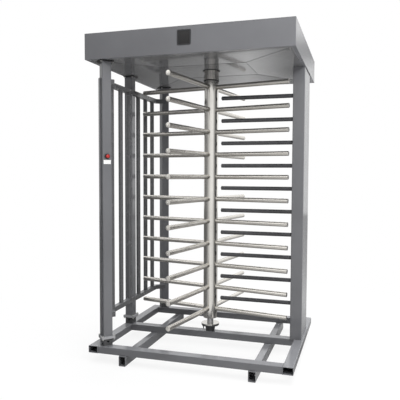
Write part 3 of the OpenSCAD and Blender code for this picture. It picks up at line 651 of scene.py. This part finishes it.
def plate(bm: BMesh, place: Matrix, size: Size, edge: float) -> None:
    """Add a flat plate with chamfered front edges, its back at the local origin, facing +Z.

    Args:
        bm: Form that gets the plate.
        place: Where the local frame lies.
        size: Size along the local X, Y and Z.
        edge: Width of the chamfer.
    """
    width, height, depth = size
    rings: list[Ring] = []
    for inset, z in ((0.0, 0.0), (0.0, depth - edge), (edge, depth)):
        x, y = width / 2 - inset, height / 2 - inset
        rings.append([bm.verts.new(place @ Vector((sx * x, sy * y, z))) for sx, sy in CORNERS])
    loft(bm, rings, False)


@dataclass(frozen=True)
class HexBolt:
    """Flanged hex bolt with its nut. Its head's seat is the origin, its shank goes up.

    The crown, and the round flange's slim and wide edge, are shares of hex_r.
    """

    shank_r: float = 0.004
    hex_r: float = 0.0074
    head_h: float = 0.0052
    nut_h: float = 0.0064
    tail: float = 0.004
    pitch: float = 0.00125
    thread: float = 0.0006
    flange_h: float = 0.0012
    chamfer: float = 0.0009
    crown: float = 0.90
    flange: Span = (1.02, 1.14)
    hex_sides: int = 6
    flange_turns: int = 28
    shank_turns: int = 20

    def hexagon(self, bm: BMesh, place: Matrix, seat: float, end: float) -> None:
        """Add a chamfered hexagon on its round flange.

        Args:
            bm: Form that gets it.
            place: Bolt's frame.
            seat: Height of the flange's seat.
            end: Height of the free end.
        """
        way = math.copysign(1.0, end - seat)
        top, c = seat + way * self.flange_h, way * self.chamfer
        r, crown = self.hex_r, self.crown * self.hex_r
        slim, wide = (share * r for share in self.flange)
        lathe(bm, [(0.0, top), (crown, top), (r, top + c), (r, end - c), (crown, end),
                   (0.0, end)], place, self.hex_sides)
        lathe(bm, [(0.0, seat), (wide, seat), (wide, (seat + top) / 2), (slim, top),
                   (0.0, top)], place, self.flange_turns)

    def rod(self, bm: BMesh, place: Matrix, low: float, high: float, threaded: Span) -> None:
        """Add the round shank, chamfered at both ends.

        Args:
            bm: Form that gets it.
            place: Bolt's frame.
            low: Height of the lower end.
            high: Height of the upper end.
            threaded: Heights between which it has its thread.
        """
        r, deep = self.shank_r, self.shank_r - self.thread
        profile: list[Pair] = [(0.0, low), (deep, low), (r, low + self.thread)]
        z = max(threaded[0], low + 2 * self.thread)
        while z + self.pitch < min(threaded[1], high - self.thread):
            profile += [(r, z), (deep, z + self.pitch / 2)]
            z += self.pitch
        profile += [(r, z), (r, high - self.thread), (deep, high), (0.0, high)]
        lathe(bm, profile, place, self.shank_turns)

    def build(self, bm: BMesh, place: Matrix, grip: float) -> None:
        """Add the bolt and its nut.

        Args:
            bm: Form that gets them.
            place: Where the head's seat lies and which way the shank goes.
            grip: Thickness between the head and the nut.
        """
        nut_end = grip + self.nut_h
        tip = nut_end + self.tail
        self.hexagon(bm, place, 0.0, -self.head_h)
        self.hexagon(bm, place, grip, nut_end)
        self.rod(bm, place, -self.head_h / 2, tip, (nut_end, tip))


BOLT = HexBolt()


def upright(x: float, y: float, z: float, turn: float = 0.0, down: bool = False) -> Matrix:
    """Frame of a bolt or screw, turned about Z in degrees, with its shank up or down."""
    place = Matrix.Translation((x, y, z)) @ Matrix.Rotation(math.radians(turn), 4, "Z")
    return place @ Matrix.Rotation(math.pi, 4, "X") if down else place


def dress(finish: Finish, *nodes: str, bevel: float = 0.0) -> None:
    """Give CAD nodes a finish, and a small rounding to their edges where asked.

    Args:
        finish: Finish of the nodes.
        nodes: Names of the CAD nodes.
        bevel: Width of the rounding in metres.
    """
    for name in nodes:
        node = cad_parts[name]
        node.data.materials.clear()
        node.data.materials.append(finish.material())
        if bevel:
            node.modifiers.new("Joined corners", "WELD").merge_threshold = JOINED_REACH
            rounding = node.modifiers.new("Edge rounding", "BEVEL")
            rounding.width = bevel
            rounding.segments = BEVEL_SEGMENTS
            rounding.limit_method = "ANGLE"
            rounding.angle_limit = BEVEL_ANGLE
            rounding.harden_normals = True
    LOG.info("%s: %s", finish.name, ", ".join(nodes))


# Sub-assemblies


@dataclass
class BaseFrame:
    """Skids and rails, with the beads that join them."""

    half_w: float = 0.725
    half_d: float = 0.590
    rail_w: float = 0.070
    rail_z: Span = (0.070, 0.120)
    skid_x: float = 0.460
    skid_w: float = 0.050
    bead_r: float = 0.0026

    def build(self) -> None:
        """Dress the tubes and lay the beads."""
        dress(FINISHES.frame_coat, "skid_left", "skid_right", "side_rail_left",
              "side_rail_right", "front_rail", "middle_rail", "rear_rail")
        add_piece("base_welds", self._welds(), FINISHES.frame_coat)

    def _welds(self) -> BMesh:
        """Make the beads at the rails' ends and over the skids."""
        bm = bmesh.new()
        low, high = self.rail_z
        half = self.rail_w / 2
        for y in (half - self.half_d, 0.0, self.half_d - half):
            for side in (-1, 1):
                x = side * (self.half_w - self.rail_w)
                for edge in (y - half, y + half):
                    bead(bm, line((x, edge, low), (x, edge, high)), self.bead_r, False)
                for edge in (-self.skid_w / 2, self.skid_w / 2):
                    x = side * self.skid_x + edge
                    bead(bm, line((x, y - half, low), (x, y + half, low)), self.bead_r, False)
        return bm


@dataclass
class Posts:
    """The three left posts on their feet, the fixing strip, and the right post."""

    corner: Pair = (0.606, 0.542)
    corner_turn: float = 45.0
    middle_x: float = 0.6825
    half: float = 0.0325
    foot_z: Span = (0.120, 0.176)
    post_z: Span = (0.192, 2.108)
    right: tuple[float, float, float, float] = (0.626, 0.712, -0.038, 0.302)
    bead_r: float = 0.0022
    bolt_reach: float = 0.05728
    foot_grip: float = 0.016
    top_grip: float = 0.024
    middle_y: float = 0.0405
    middle_foot_xs: Pair = (-0.7165, -0.6410)
    middle_top_xs: Pair = (-0.7065, -0.6410)
    right_z: Span = (0.128, 2.114)
    right_grips: Pair = (0.011, 0.018)
    right_foot_x: float = 0.690
    right_foot_ys: Pair = (0.002, 0.262)
    right_top_xs: Pair = (0.644, 0.694)
    right_top_ys: Pair = (-0.023, 0.287)

    def build(self) -> None:
        """Dress the posts, put in the bolts and lay the beads at the plates."""
        dress(FINISHES.foot_coat, "foot_front_left", "foot_middle_left", "foot_rear_left")
        dress(FINISHES.post_coat, "post_front_left", "post_middle_left", "post_rear_left")
        dress(FINISHES.frame_coat, "right_post", "fixing_strip")
        add_piece("post_bolts_detailed", self._bolts(), FINISHES.zinc,
                  replaces=["post_bolts"])
        add_piece("post_welds", self._welds(), FINISHES.frame_coat)

    def _bolts(self) -> BMesh:
        """Make the bolts of the feet, of the flanges and of the right post."""
        bm = bmesh.new()
        r = self.bolt_reach
        foot, top = self.post_z
        for y in (-self.corner[1], self.corner[1]):
            for dx, dy in ((r, 0.0), (-r, 0.0), (0.0, r), (0.0, -r)):
                spot = (dx - self.corner[0], y + dy)
                BOLT.build(bm, upright(*spot, foot, self.corner_turn, True), self.foot_grip)
                BOLT.build(bm, upright(*spot, top, self.corner_turn), self.top_grip)
        for y in (-self.middle_y, self.middle_y):
            for x in self.middle_foot_xs:
                BOLT.build(bm, upright(x, y, foot, down=True), self.foot_grip)
            for x in self.middle_top_xs:
                BOLT.build(bm, upright(x, y, top), self.top_grip)
        foot, top = self.right_z
        foot_grip, top_grip = self.right_grips
        for y in self.right_foot_ys:
            BOLT.build(bm, upright(self.right_foot_x, y, foot, down=True), foot_grip)
        for y in self.right_top_ys:
            for x in self.right_top_xs:
                BOLT.build(bm, upright(x, y, top), top_grip)
        return bm

    def _welds(self) -> BMesh:
        """Make the beads round the tubes at each plate."""
        bm = bmesh.new()
        x, y = self.corner
        turn = Matrix.Rotation(math.radians(self.corner_turn), 4, "Z")
        for place in (Matrix.Translation((-x, -y, 0)) @ turn,
                      Matrix.Translation((-self.middle_x, 0, 0)),
                      Matrix.Translation((-x, y, 0)) @ turn):
            for z in (*self.foot_z, *self.post_z):
                corners = [place @ Vector((sx * self.half, sy * self.half, z))
                           for sx, sy in CORNERS]
                bead(bm, loop(corners), self.bead_r, True)
        x0, x1, y0, y1 = self.right
        z = self.foot_z[0]
        bead(bm, loop([(x0, y0, z), (x1, y0, z), (x1, y1, z), (x0, y1, z)]), self.bead_r, True)
        return bm


@dataclass
class Comb:
    """Ten bars on the right post, between the rotor's arms."""

    bar_r: float = 0.015
    wall_x: float = 0.626
    first_z: float = 0.385
    pitch: float = 0.170
    count: int = 10
    bead_r: float = 0.002
    bead_steps: int = 40

    def build(self) -> None:
        """Dress the bars and lay the beads where they enter the post."""
        dress(FINISHES.comb_coat, "comb_bars")
        dress(FINISHES.black_plastic, "comb_caps")
        bm = bmesh.new()
        for i in range(self.count):
            centre = (self.wall_x, 0, self.first_z + self.pitch * i)
            ring = hoop(centre, self.bar_r, (0, 1, 0), (0, 0, 1), self.bead_steps)
            bead(bm, ring, self.bead_r, True)
        add_piece("comb_welds", bm, FINISHES.comb_coat)


@dataclass
class Guard:
    """Two bent rails and six upright bars on the left."""

    x: float = 0.652
    bar_r: float = 0.017
    bar_ys: tuple[float, ...] = (-0.369, -0.227, -0.085, 0.085, 0.227, 0.369)
    bar_z: Span = (0.3455, 1.9655)
    rail_mids: Pair = (0.3280, 1.9830)
    end: Pair = (-0.5827, 0.4925)
    plug: Size = (0.0364, 0.0334, 0.0016)
    plug_edge: float = 0.0006
    bead_r: float = 0.0018
    bead_steps: int = 36

    def build(self) -> None:
        """Dress the guard, lay the beads at the bars' ends and close the rails' ends."""
        dress(FINISHES.guard_coat, "cage_top_rail", "cage_bottom_rail", "cage_bars")
        bm = bmesh.new()
        for y in self.bar_ys:
            for z in self.bar_z:
                ring = hoop((-self.x, y, z), self.bar_r, (1, 0, 0), (0, 1, 0), self.bead_steps)
                bead(bm, ring, self.bead_r, True)
        add_piece("guard_welds", bm, FINISHES.guard_coat)
        bm = bmesh.new()
        for z in self.rail_mids:
            for side in (-1, 1):
                ahead = Vector((1, side, 0)).normalized()
                across = Vector((1, -side, 0)).normalized() * side
                end = Vector((self.end[0], side * self.end[1], z)) - ahead * self.plug[2]
                turn = Matrix((across, ahead.cross(across), ahead)).transposed().to_4x4()
                plate(bm, Matrix.Translation(end) @ turn, self.plug, self.plug_edge)
        add_piece("guard_end_plates", bm, FINISHES.guard_coat)


@dataclass
class Header:
    """The header's sheet metal, its display and the seal round the rotor.

    The seal's heights count from the soffit's rise. The screws' profile is in
    shares of their radius and height, and their places in shares of the rim.
    """

    rim: Point = (0.675, 0.583, 2.116)
    rise: Point = (0.317, 0.215, 2.126)
    shell: Pair = (0.717, 0.625)
    shell_bevel: float = 0.0012
    bezel_bevel: float = 0.0006
    fold_r: float = 0.0011
    fold_start: float = 0.06
    fold_step: float = 0.05
    screw_r: float = 0.0042
    screw_h: float = 0.0022
    screw_seat: float = 0.0002
    screw_profile: Profile = (
        (0.0, 0.0), (1.0, 0.0), (1.0, 0.35), (0.86, 0.72), (0.55, 1.0), (0.32, 1.0),
        (0.24, 0.45), (0.0, 0.45))
    screw_turns: int = 20
    screws_along: tuple[float, ...] = (-0.86, -0.3, 0.3, 0.86)
    screws_across: tuple[float, ...] = (-0.7, -0.25, 0.25, 0.7)
    seal: Profile = (
        (0.0590, -0.0005), (0.0600, -0.0030), (0.0640, -0.0030), (0.0655, -0.0005),
        (0.0640, 0.0002), (0.0600, 0.0002))
    seal_turns: int = 72

    def build(self) -> None:
        """Dress the sheets and the display, draw the folds and put in the screws."""
        dress(FINISHES.frame_coat, "header_shell", "header_lid", bevel=self.shell_bevel)
        dress(FINISHES.soffit_coat, "header_soffit")
        dress(FINISHES.black_plastic, "display_bezel", bevel=self.bezel_bevel)
        dress(FINISHES.window, "display_window")
        add_piece("soffit_folds", self._folds(), FINISHES.rubber)
        add_piece("soffit_screws", self._screws(), FINISHES.soffit_coat)
        bm = bmesh.new()
        lathe(bm, [(r, self.rise[2] + h) for r, h in self.seal], Matrix.Identity(4),
              self.seal_turns)
        add_piece("rotor_seal", bm, FINISHES.rubber)

    def _folds(self) -> BMesh:
        """Make the thin seams along the soffit's folds."""
        bm = bmesh.new()
        outer, inner = ([(sx * x, sy * y, z) for sx, sy in CORNERS]
                        for x, y, z in (self.rim, self.rise))
        bead(bm, loop(inner, self.fold_step), self.fold_r, True, ripple=0.0)
        for a, b in zip(outer, inner):
            start = Vector(a).lerp(Vector(b), self.fold_start)
            bead(bm, line(start, b, self.fold_step), self.fold_r, False, ripple=0.0)
        return bm

    def _screws(self) -> BMesh:
        """Make the round head screws that hold the soffit's rim."""
        bm = bmesh.new()
        x, y = (self.rim[0] + self.shell[0]) / 2, (self.rim[1] + self.shell[1]) / 2
        spots = [(side * x, t * y) for side in (-1, 1) for t in self.screws_along]
        spots += [(t * x, side * y) for side in (-1, 1) for t in self.screws_across]
        profile = [(a * self.screw_r, b * self.screw_h) for a, b in self.screw_profile]
        for spot in spots:
            seat = upright(*spot, self.rim[2] + self.screw_seat, down=True)
            lathe(bm, profile, seat, self.screw_turns)
        return bm


@dataclass
class Rotor:
    """Column, collar, wings and caps, with the beads at the arms' roots."""

    column_r: float = 0.054
    arm_r: float = 0.017
    first_z: float = 0.300
    pitch: float = 0.170
    levels: int = 11
    wings: int = 4
    rest_angle: float = math.radians(-10.6)
    bead_r: float = 0.0018
    bead_steps: int = 32
    band: Profile = (
        (0.0538, 2.0460), (0.0580, 2.0460), (0.0584, 2.0468), (0.0584, 2.0532),
        (0.0580, 2.0540), (0.0538, 2.0540))
    band_turns: int = 96

    def build(self) -> None:
        """Dress the rotor, lay the beads at the arms' roots and put on the collar's band."""
        dress(FINISHES.arm_steel, "wing_right", "wing_rear", "wing_left", "wing_front")
        dress(FINISHES.cap_steel, "arm_caps")
        dress(FINISHES.column_steel, "column")
        dress(FINISHES.collar_steel, "column_collar")
        dress(FINISHES.turned_steel, "top_spindle", "bottom_spindle", "index_disc")
        add_piece("arm_welds", self._welds(), FINISHES.arm_steel,
                  Body.ROTOR)
        bm = bmesh.new()
        lathe(bm, self.band, Matrix.Identity(4), self.band_turns)
        add_piece("collar_bands", bm, FINISHES.rubber, Body.ROTOR)

    def _welds(self) -> BMesh:
        """Make the saddle-shaped bead round each arm's root."""
        bm = bmesh.new()
        saddle = [(self.arm_r * c, self.arm_r * s) for c, s in circle(self.bead_steps)]
        for wing in range(self.wings):
            turn = Matrix.Rotation(self.rest_angle + wing * math.tau / self.wings, 4, "Z")
            for level in range(self.levels):
                z = self.first_z + level * self.pitch
                ring = [turn @ Vector((math.sqrt(self.column_r ** 2 - y * y), y, z + rise))
                        for y, rise in saddle]
                bead(bm, ring, self.bead_r, True)
        return bm


@dataclass
class Bearings:
    """Lower and upper bearings with their casting, cover and bolts."""

    lower_r: float = 0.060
    upper_r: float = 0.064
    flange_z: float = 0.166
    stud: Span = (0.144, 0.1813)
    upper_z: float = 2.212
    upper_grip: float = 0.020
    bolt_turns: tuple[int, ...] = (45, 135, 225, 315)

    def build(self) -> None:
        """Dress the bearings and make their bolts."""
        dress(FINISHES.iron, "pedestal", "upper_bearing_housing", "centring_barrel")
        dress(FINISHES.column_steel, "bearing_cover")
        dress(FINISHES.turned_steel, "lower_bearing", "upper_bearing")
        bm = bmesh.new()
        nut_low = self.flange_z - BOLT.nut_h
        for turn in self.bolt_turns:
            x, y = math.cos(math.radians(turn)), math.sin(math.radians(turn))
            seat = upright(self.lower_r * x, self.lower_r * y, 0.0, turn)
            BOLT.hexagon(bm, seat, self.flange_z, nut_low)
            BOLT.rod(bm, seat, *self.stud, (self.stud[0], nut_low))
            seat = upright(self.upper_r * x, self.upper_r * y, self.upper_z, turn)
            BOLT.build(bm, seat, self.upper_grip)
        add_piece("bearing_bolts_detailed", bm, FINISHES.black_oxide,
                  replaces=["bearing_bolts"])


@dataclass
class Mechanism:
    """What the header houses: plates, beams, pawls, solenoids and the control box."""

    def build(self) -> None:
        """Dress the mechanism."""
        dress(FINISHES.zinc, "left_header_plate", "right_header_plate", "beam_front",
              "beam_rear", "bearing_plate")
        dress(FINISHES.brass, "pawl_entry", "pawl_exit")
        dress(FINISHES.turned_steel, "pawl_pins", "plunger_entry", "plunger_exit",
              "centring_plunger")
        dress(FINISHES.coil_plastic, "solenoid_entry", "solenoid_exit")
        dress(FINISHES.box_plastic, "control_box")


@dataclass
class Button:
    """Push button on the front left post, with the blank plate below it."""

    post: Point = (-0.606, -0.542, 0.0)
    turn: float = 45.0
    face: float = 0.0325
    height: float = 1.459
    label: Size = (0.050, 0.028, 0.001)
    label_drop: float = 0.0395
    label_edge: float = 0.0003
    ring: Profile = (
        (0.0128, 0.0), (0.0185, 0.0), (0.0185, 0.0058), (0.0180, 0.0072), (0.0168, 0.0080),
        (0.0136, 0.0080), (0.0129, 0.0074))
    head: Profile = (
        (0.0, 0.0043), (0.0116, 0.0043), (0.0122, 0.0050), (0.0122, 0.0165), (0.0119, 0.0180),
        (0.0110, 0.0192), (0.0094, 0.0199), (0.0060, 0.0206), (0.0, 0.0209))
    turns: int = 64

    def place(self, drop: float = 0.0) -> Matrix:
        """Frame on the post's face, looking out, this far below the button's axis."""
        return (Matrix.Translation(self.post)
                @ Matrix.Rotation(math.radians(self.turn), 4, "Z")
                @ Matrix.Translation((0, -self.face, self.height))
                @ Matrix.Rotation(math.pi / 2, 4, "X")
                @ Matrix.Translation((0, -drop, 0)))

    def build(self) -> None:
        """Cut the plate and turn the ring and the head."""
        bm = bmesh.new()
        plate(bm, self.place(self.label_drop), self.label, self.label_edge)
        add_piece("label_foil_plate", bm, FINISHES.label_foil,
                  replaces=["label_plate"])
        bm = bmesh.new()
        lathe(bm, self.ring, self.place(), self.turns)
        add_piece("button_ring", bm, FINISHES.black_plastic,
                  replaces=["button_base"])
        bm = bmesh.new()
        lathe(bm, self.head, self.place(), self.turns)
        add_piece("button_head", bm, FINISHES.red_plastic, Body.BUTTON,
                  ["push_button"])


# Studio


@dataclass(frozen=True)
class Lamp:
    """Soft rectangular lamp, which doesn't show in mirror images."""

    name: str
    place: Point
    target: Point
    size: Pair
    power: float

    def hang(self) -> None:
        """Put the lamp into the scene, facing its target."""
        data = bpy.data.lights.new(self.name, "AREA")
        data.shape = "RECTANGLE"
        data.size, data.size_y = self.size
        data.energy = self.power
        lamp = bpy.data.objects.new(self.name, data)
        lamp.location = self.place
        lamp.visible_glossy = False
        ahead = Vector(self.target) - Vector(self.place)
        lamp.rotation_euler = ahead.to_track_quat("-Z", "Y").to_euler()
        bpy.context.scene.collection.objects.link(lamp)


@dataclass
class Studio:
    """Floor, lamps, world and the camera at the photo's angle.

    The panels are grey levels round the upright axis, each at its share of the
    full turn, as the gloss of the turnstile mirrors them.
    """

    eye: Point = (1.1072, -3.6941, 1.3256)
    yaw: float = 16.2
    pitch: float = 3.0
    roll: float = 0.3
    focal_px: float = 499.5
    frame_px: float = 400.0
    centre_px: Pair = (215.1, 202.3)
    sensor: float = 36.0
    floor_half: float = 14.0
    floor_z: float = -0.0005
    floor_cells: int = 8
    floor_tone: float = 0.86
    floor_roughness: float = 0.9
    floor_specular: float = 0.1
    floor_white: float = 0.86
    floor_fade: Span = (0.8, 2.6)
    floor_near: float = 0.30
    floor_ring: Span = (0.35, 0.95)
    floor_second: float = 0.25
    floor_panels: Profile = (
        (0.00, 0.38), (0.035, 0.12), (0.12, 0.20), (0.21, 0.16), (0.30, 0.22), (0.38, 0.46),
        (0.43, 0.80), (0.50, 0.95), (0.60, 0.80), (0.66, 0.26), (0.72, 0.09), (0.79, 0.30),
        (0.88, 0.70), (0.950, 0.18), (0.967, 0.26), (0.985, 0.95), (1.00, 0.50))
    ambient: Colour = (0.95, 0.97, 1.0)
    ambient_level: float = 0.22
    sky_mirrored: float = 1.0
    sky_span: Span = (0.07, 0.42)
    overhead_mirrored: float = 1.45
    overhead_span: Span = (0.34, 0.50)
    gap_height: float = 0.237
    gap_span: Span = (0.008, 0.034)
    gap_level: float = 0.42
    second_mirror: float = 0.80
    panels: Profile = (
        (0.00, 0.95), (0.09, 0.75), (0.145, 0.62), (0.185, 0.32), (0.22, 0.27), (0.30, 0.36),
        (0.36, 0.50), (0.41, 0.72), (0.45, 0.95), (0.56, 1.10), (0.61, 0.80), (0.66, 0.28),
        (0.73, 0.08), (0.79, 0.42), (0.84, 1.05), (0.885, 1.30), (0.925, 0.90), (0.94, 0.76),
        (1.00, 1.10))
    lamps: tuple[Lamp, ...] = (
        Lamp("Right softbox", (4.6, -0.6, 2.2), (0.0, 0.0, 1.1), (3.2, 3.4), 110.0),
        Lamp("Front softbox", (2.0, -3.0, 3.5), (0.2, -0.5, 1.9), (2.0, 1.4), 36.0),
        Lamp("Header softbox", (1.7, -2.2, 2.7), (0.5, -0.6, 2.2), (0.9, 0.6), 30.0),
        Lamp("Top softbox", (0.4, -0.2, 5.2), (0.0, 0.0, 0.0), (4.4, 4.4), 320.0),
        Lamp("Low rear softbox", (-0.6, 4.6, 1.6), (0.0, 0.0, 0.1), (4.0, 1.8), 220.0))

    def build(self) -> None:
        """Set up everything that isn't the turnstile."""
        self._camera()
        self._floor()
        self._world()
        for lamp in self.lamps:
            lamp.hang()
        bpy.context.scene.view_settings.view_transform = "Standard"

    def _camera(self) -> None:
        """Place the camera as the photo's was."""
        data = bpy.data.cameras.new("Photo camera")
        data.sensor_width = self.sensor
        data.lens = self.focal_px / self.frame_px * self.sensor
        data.shift_x = (self.frame_px / 2 - self.centre_px[0]) / self.frame_px
        data.shift_y = (self.centre_px[1] - self.frame_px / 2) / self.frame_px
        camera = bpy.data.objects.new("Photo camera", data)
        yaw, pitch, roll = (math.radians(v) for v in (self.yaw, self.pitch, self.roll))
        camera.matrix_world = (Matrix.Translation(self.eye) @ Matrix.Rotation(yaw, 4, "Z")
                               @ Matrix.Rotation(math.pi / 2 - pitch, 4, "X")
                               @ Matrix.Rotation(roll, 4, "Z"))
        bpy.context.scene.collection.objects.link(camera)
        bpy.context.scene.camera = camera

    def _floor(self) -> None:
        """Lay the pale floor, which fades to the white background with distance."""
        bm = bmesh.new()
        bmesh.ops.create_grid(bm, x_segments=self.floor_cells, y_segments=self.floor_cells,
                              size=self.floor_half)
        material = bpy.data.materials.new("Pale floor")
        material.use_nodes = True
        graph, nodes = Graph(material.node_tree), material.node_tree.nodes
        shader = nodes["Principled BSDF"]
        graph.feed(shader, {"Base Color": grey(self.floor_tone),
                            "Roughness": self.floor_roughness,
                            "Specular IOR Level": self.floor_specular})
        path = nodes.new("ShaderNodeLightPath").outputs
        place = graph.place()
        reach = graph.add("ShaderNodeVectorMath", {0: place}, "Value", operation="LENGTH")
        far = graph.span(reach, self.floor_fade, (self.floor_white, 1.0))
        white = graph.add("ShaderNodeEmission")
        seen = graph.blend(graph.calc("MULTIPLY", far, path["Is Camera Ray"]),
                           shader.outputs[0], white)
        ring = graph.span(reach, self.floor_ring, WHOLE)
        panels = self._panel_ramp(graph, place, self.floor_panels)
        mirrored = graph.add("ShaderNodeEmission", {
            "Color": graph.mix(ring, grey(self.floor_near), panels),
            "Strength": self._weaker(graph, path, self.floor_second)})
        graph.feed(nodes["Material Output"],
                   {"Surface": graph.blend(path["Is Glossy Ray"], seen, mirrored)})
        floor = make_object("Floor", bm, material)
        floor.location.z = self.floor_z

    def _panel_ramp(self, graph: Graph, place: Socket, panels: Profile) -> Socket:
        """Grey levels round the upright axis, starting behind the turnstile.

        Args:
            graph: Graph that gets the nodes.
            place: Place or direction whose turn about Z counts.
            panels: Share of the full turn, from 0 to 1, and level of each stop.

        Returns:
            The ramp's colour.
        """
        behind = math.atan2(-self.eye[1], -self.eye[0])
        angle = graph.calc("ARCTAN2", graph.part(place, "Y"), graph.part(place, "X"))
        turned = graph.calc("SUBTRACT", angle, behind)
        share = graph.calc("FRACT", graph.calc("DIVIDE", turned, math.tau))
        ramp = graph.add("ShaderNodeValToRGB", {0: share})
        points = ramp.node.color_ramp.elements
        for share_of_turn, _ in panels[1:-1]:
            points.new(share_of_turn)
        for point, (_, level) in zip(points, panels):
            point.color = grey(level)
        return ramp

    @staticmethod
    def _weaker(graph: Graph, path: Mapping[str, Socket], level: float) -> Socket:
        """Full strength in a first mirror image, and this level in images of images."""
        again = graph.calc("GREATER_THAN", path["Glossy Depth"], FIRST_IMAGE)
        return graph.span(again, WHOLE, (1.0, level))

    def _world(self) -> None:
        """Light the scene evenly, show white to the camera, and panels in reflections."""
        world = bpy.data.worlds.new("Studio")
        world.use_nodes = True
        world.cycles.sampling_method = "NONE"
        bpy.context.scene.world = world
        graph, nodes = Graph(world.node_tree), world.node_tree.nodes
        even = nodes["Background"]
        graph.feed(even, {"Color": rgba(self.ambient), "Strength": self.ambient_level})
        path = nodes.new("ShaderNodeLightPath").outputs
        way = graph.add("ShaderNodeTexCoord", output="Generated")
        height = graph.part(way, "Z")
        shown = self._panel_ramp(graph, way, self.panels)
        for span, level in ((self.sky_span, self.sky_mirrored),
                            (self.overhead_span, self.overhead_mirrored)):
            shown = graph.mix(graph.span(height, span, WHOLE), shown, grey(level))
        away = graph.calc("ABSOLUTE", graph.calc("SUBTRACT", height, self.gap_height))
        gap = graph.span(away, self.gap_span, (self.gap_level, 1.0))
        mirrored = graph.add("ShaderNodeBackground", {
            "Color": graph.mix(gap, grey(0.0), shown),
            "Strength": self._weaker(graph, path, self.second_mirror)})
        white = graph.add("ShaderNodeBackground", {"Color": grey(1.0)})
        first = graph.blend(path["Is Glossy Ray"], even.outputs[0], mirrored)
        seen = graph.calc("ADD", path["Is Camera Ray"], path["Is Transmission Ray"], True)
        graph.feed(nodes["World Output"], {"Surface": graph.blend(seen, first, white)})


def main() -> None:
    """Build every sub-assembly in order, then the studio."""
    logging.basicConfig(level=logging.INFO, format="%(name)s %(message)s")
    assemblies = (BaseFrame(), Posts(), Comb(), Guard(), Header(), Rotor(), Bearings(),
                  Mechanism(), Button(), Studio())
    for assembly in assemblies:
        LOG.info("building %s", type(assembly).__name__)
        assembly.build()


if __name__ == "__main__":
    main()
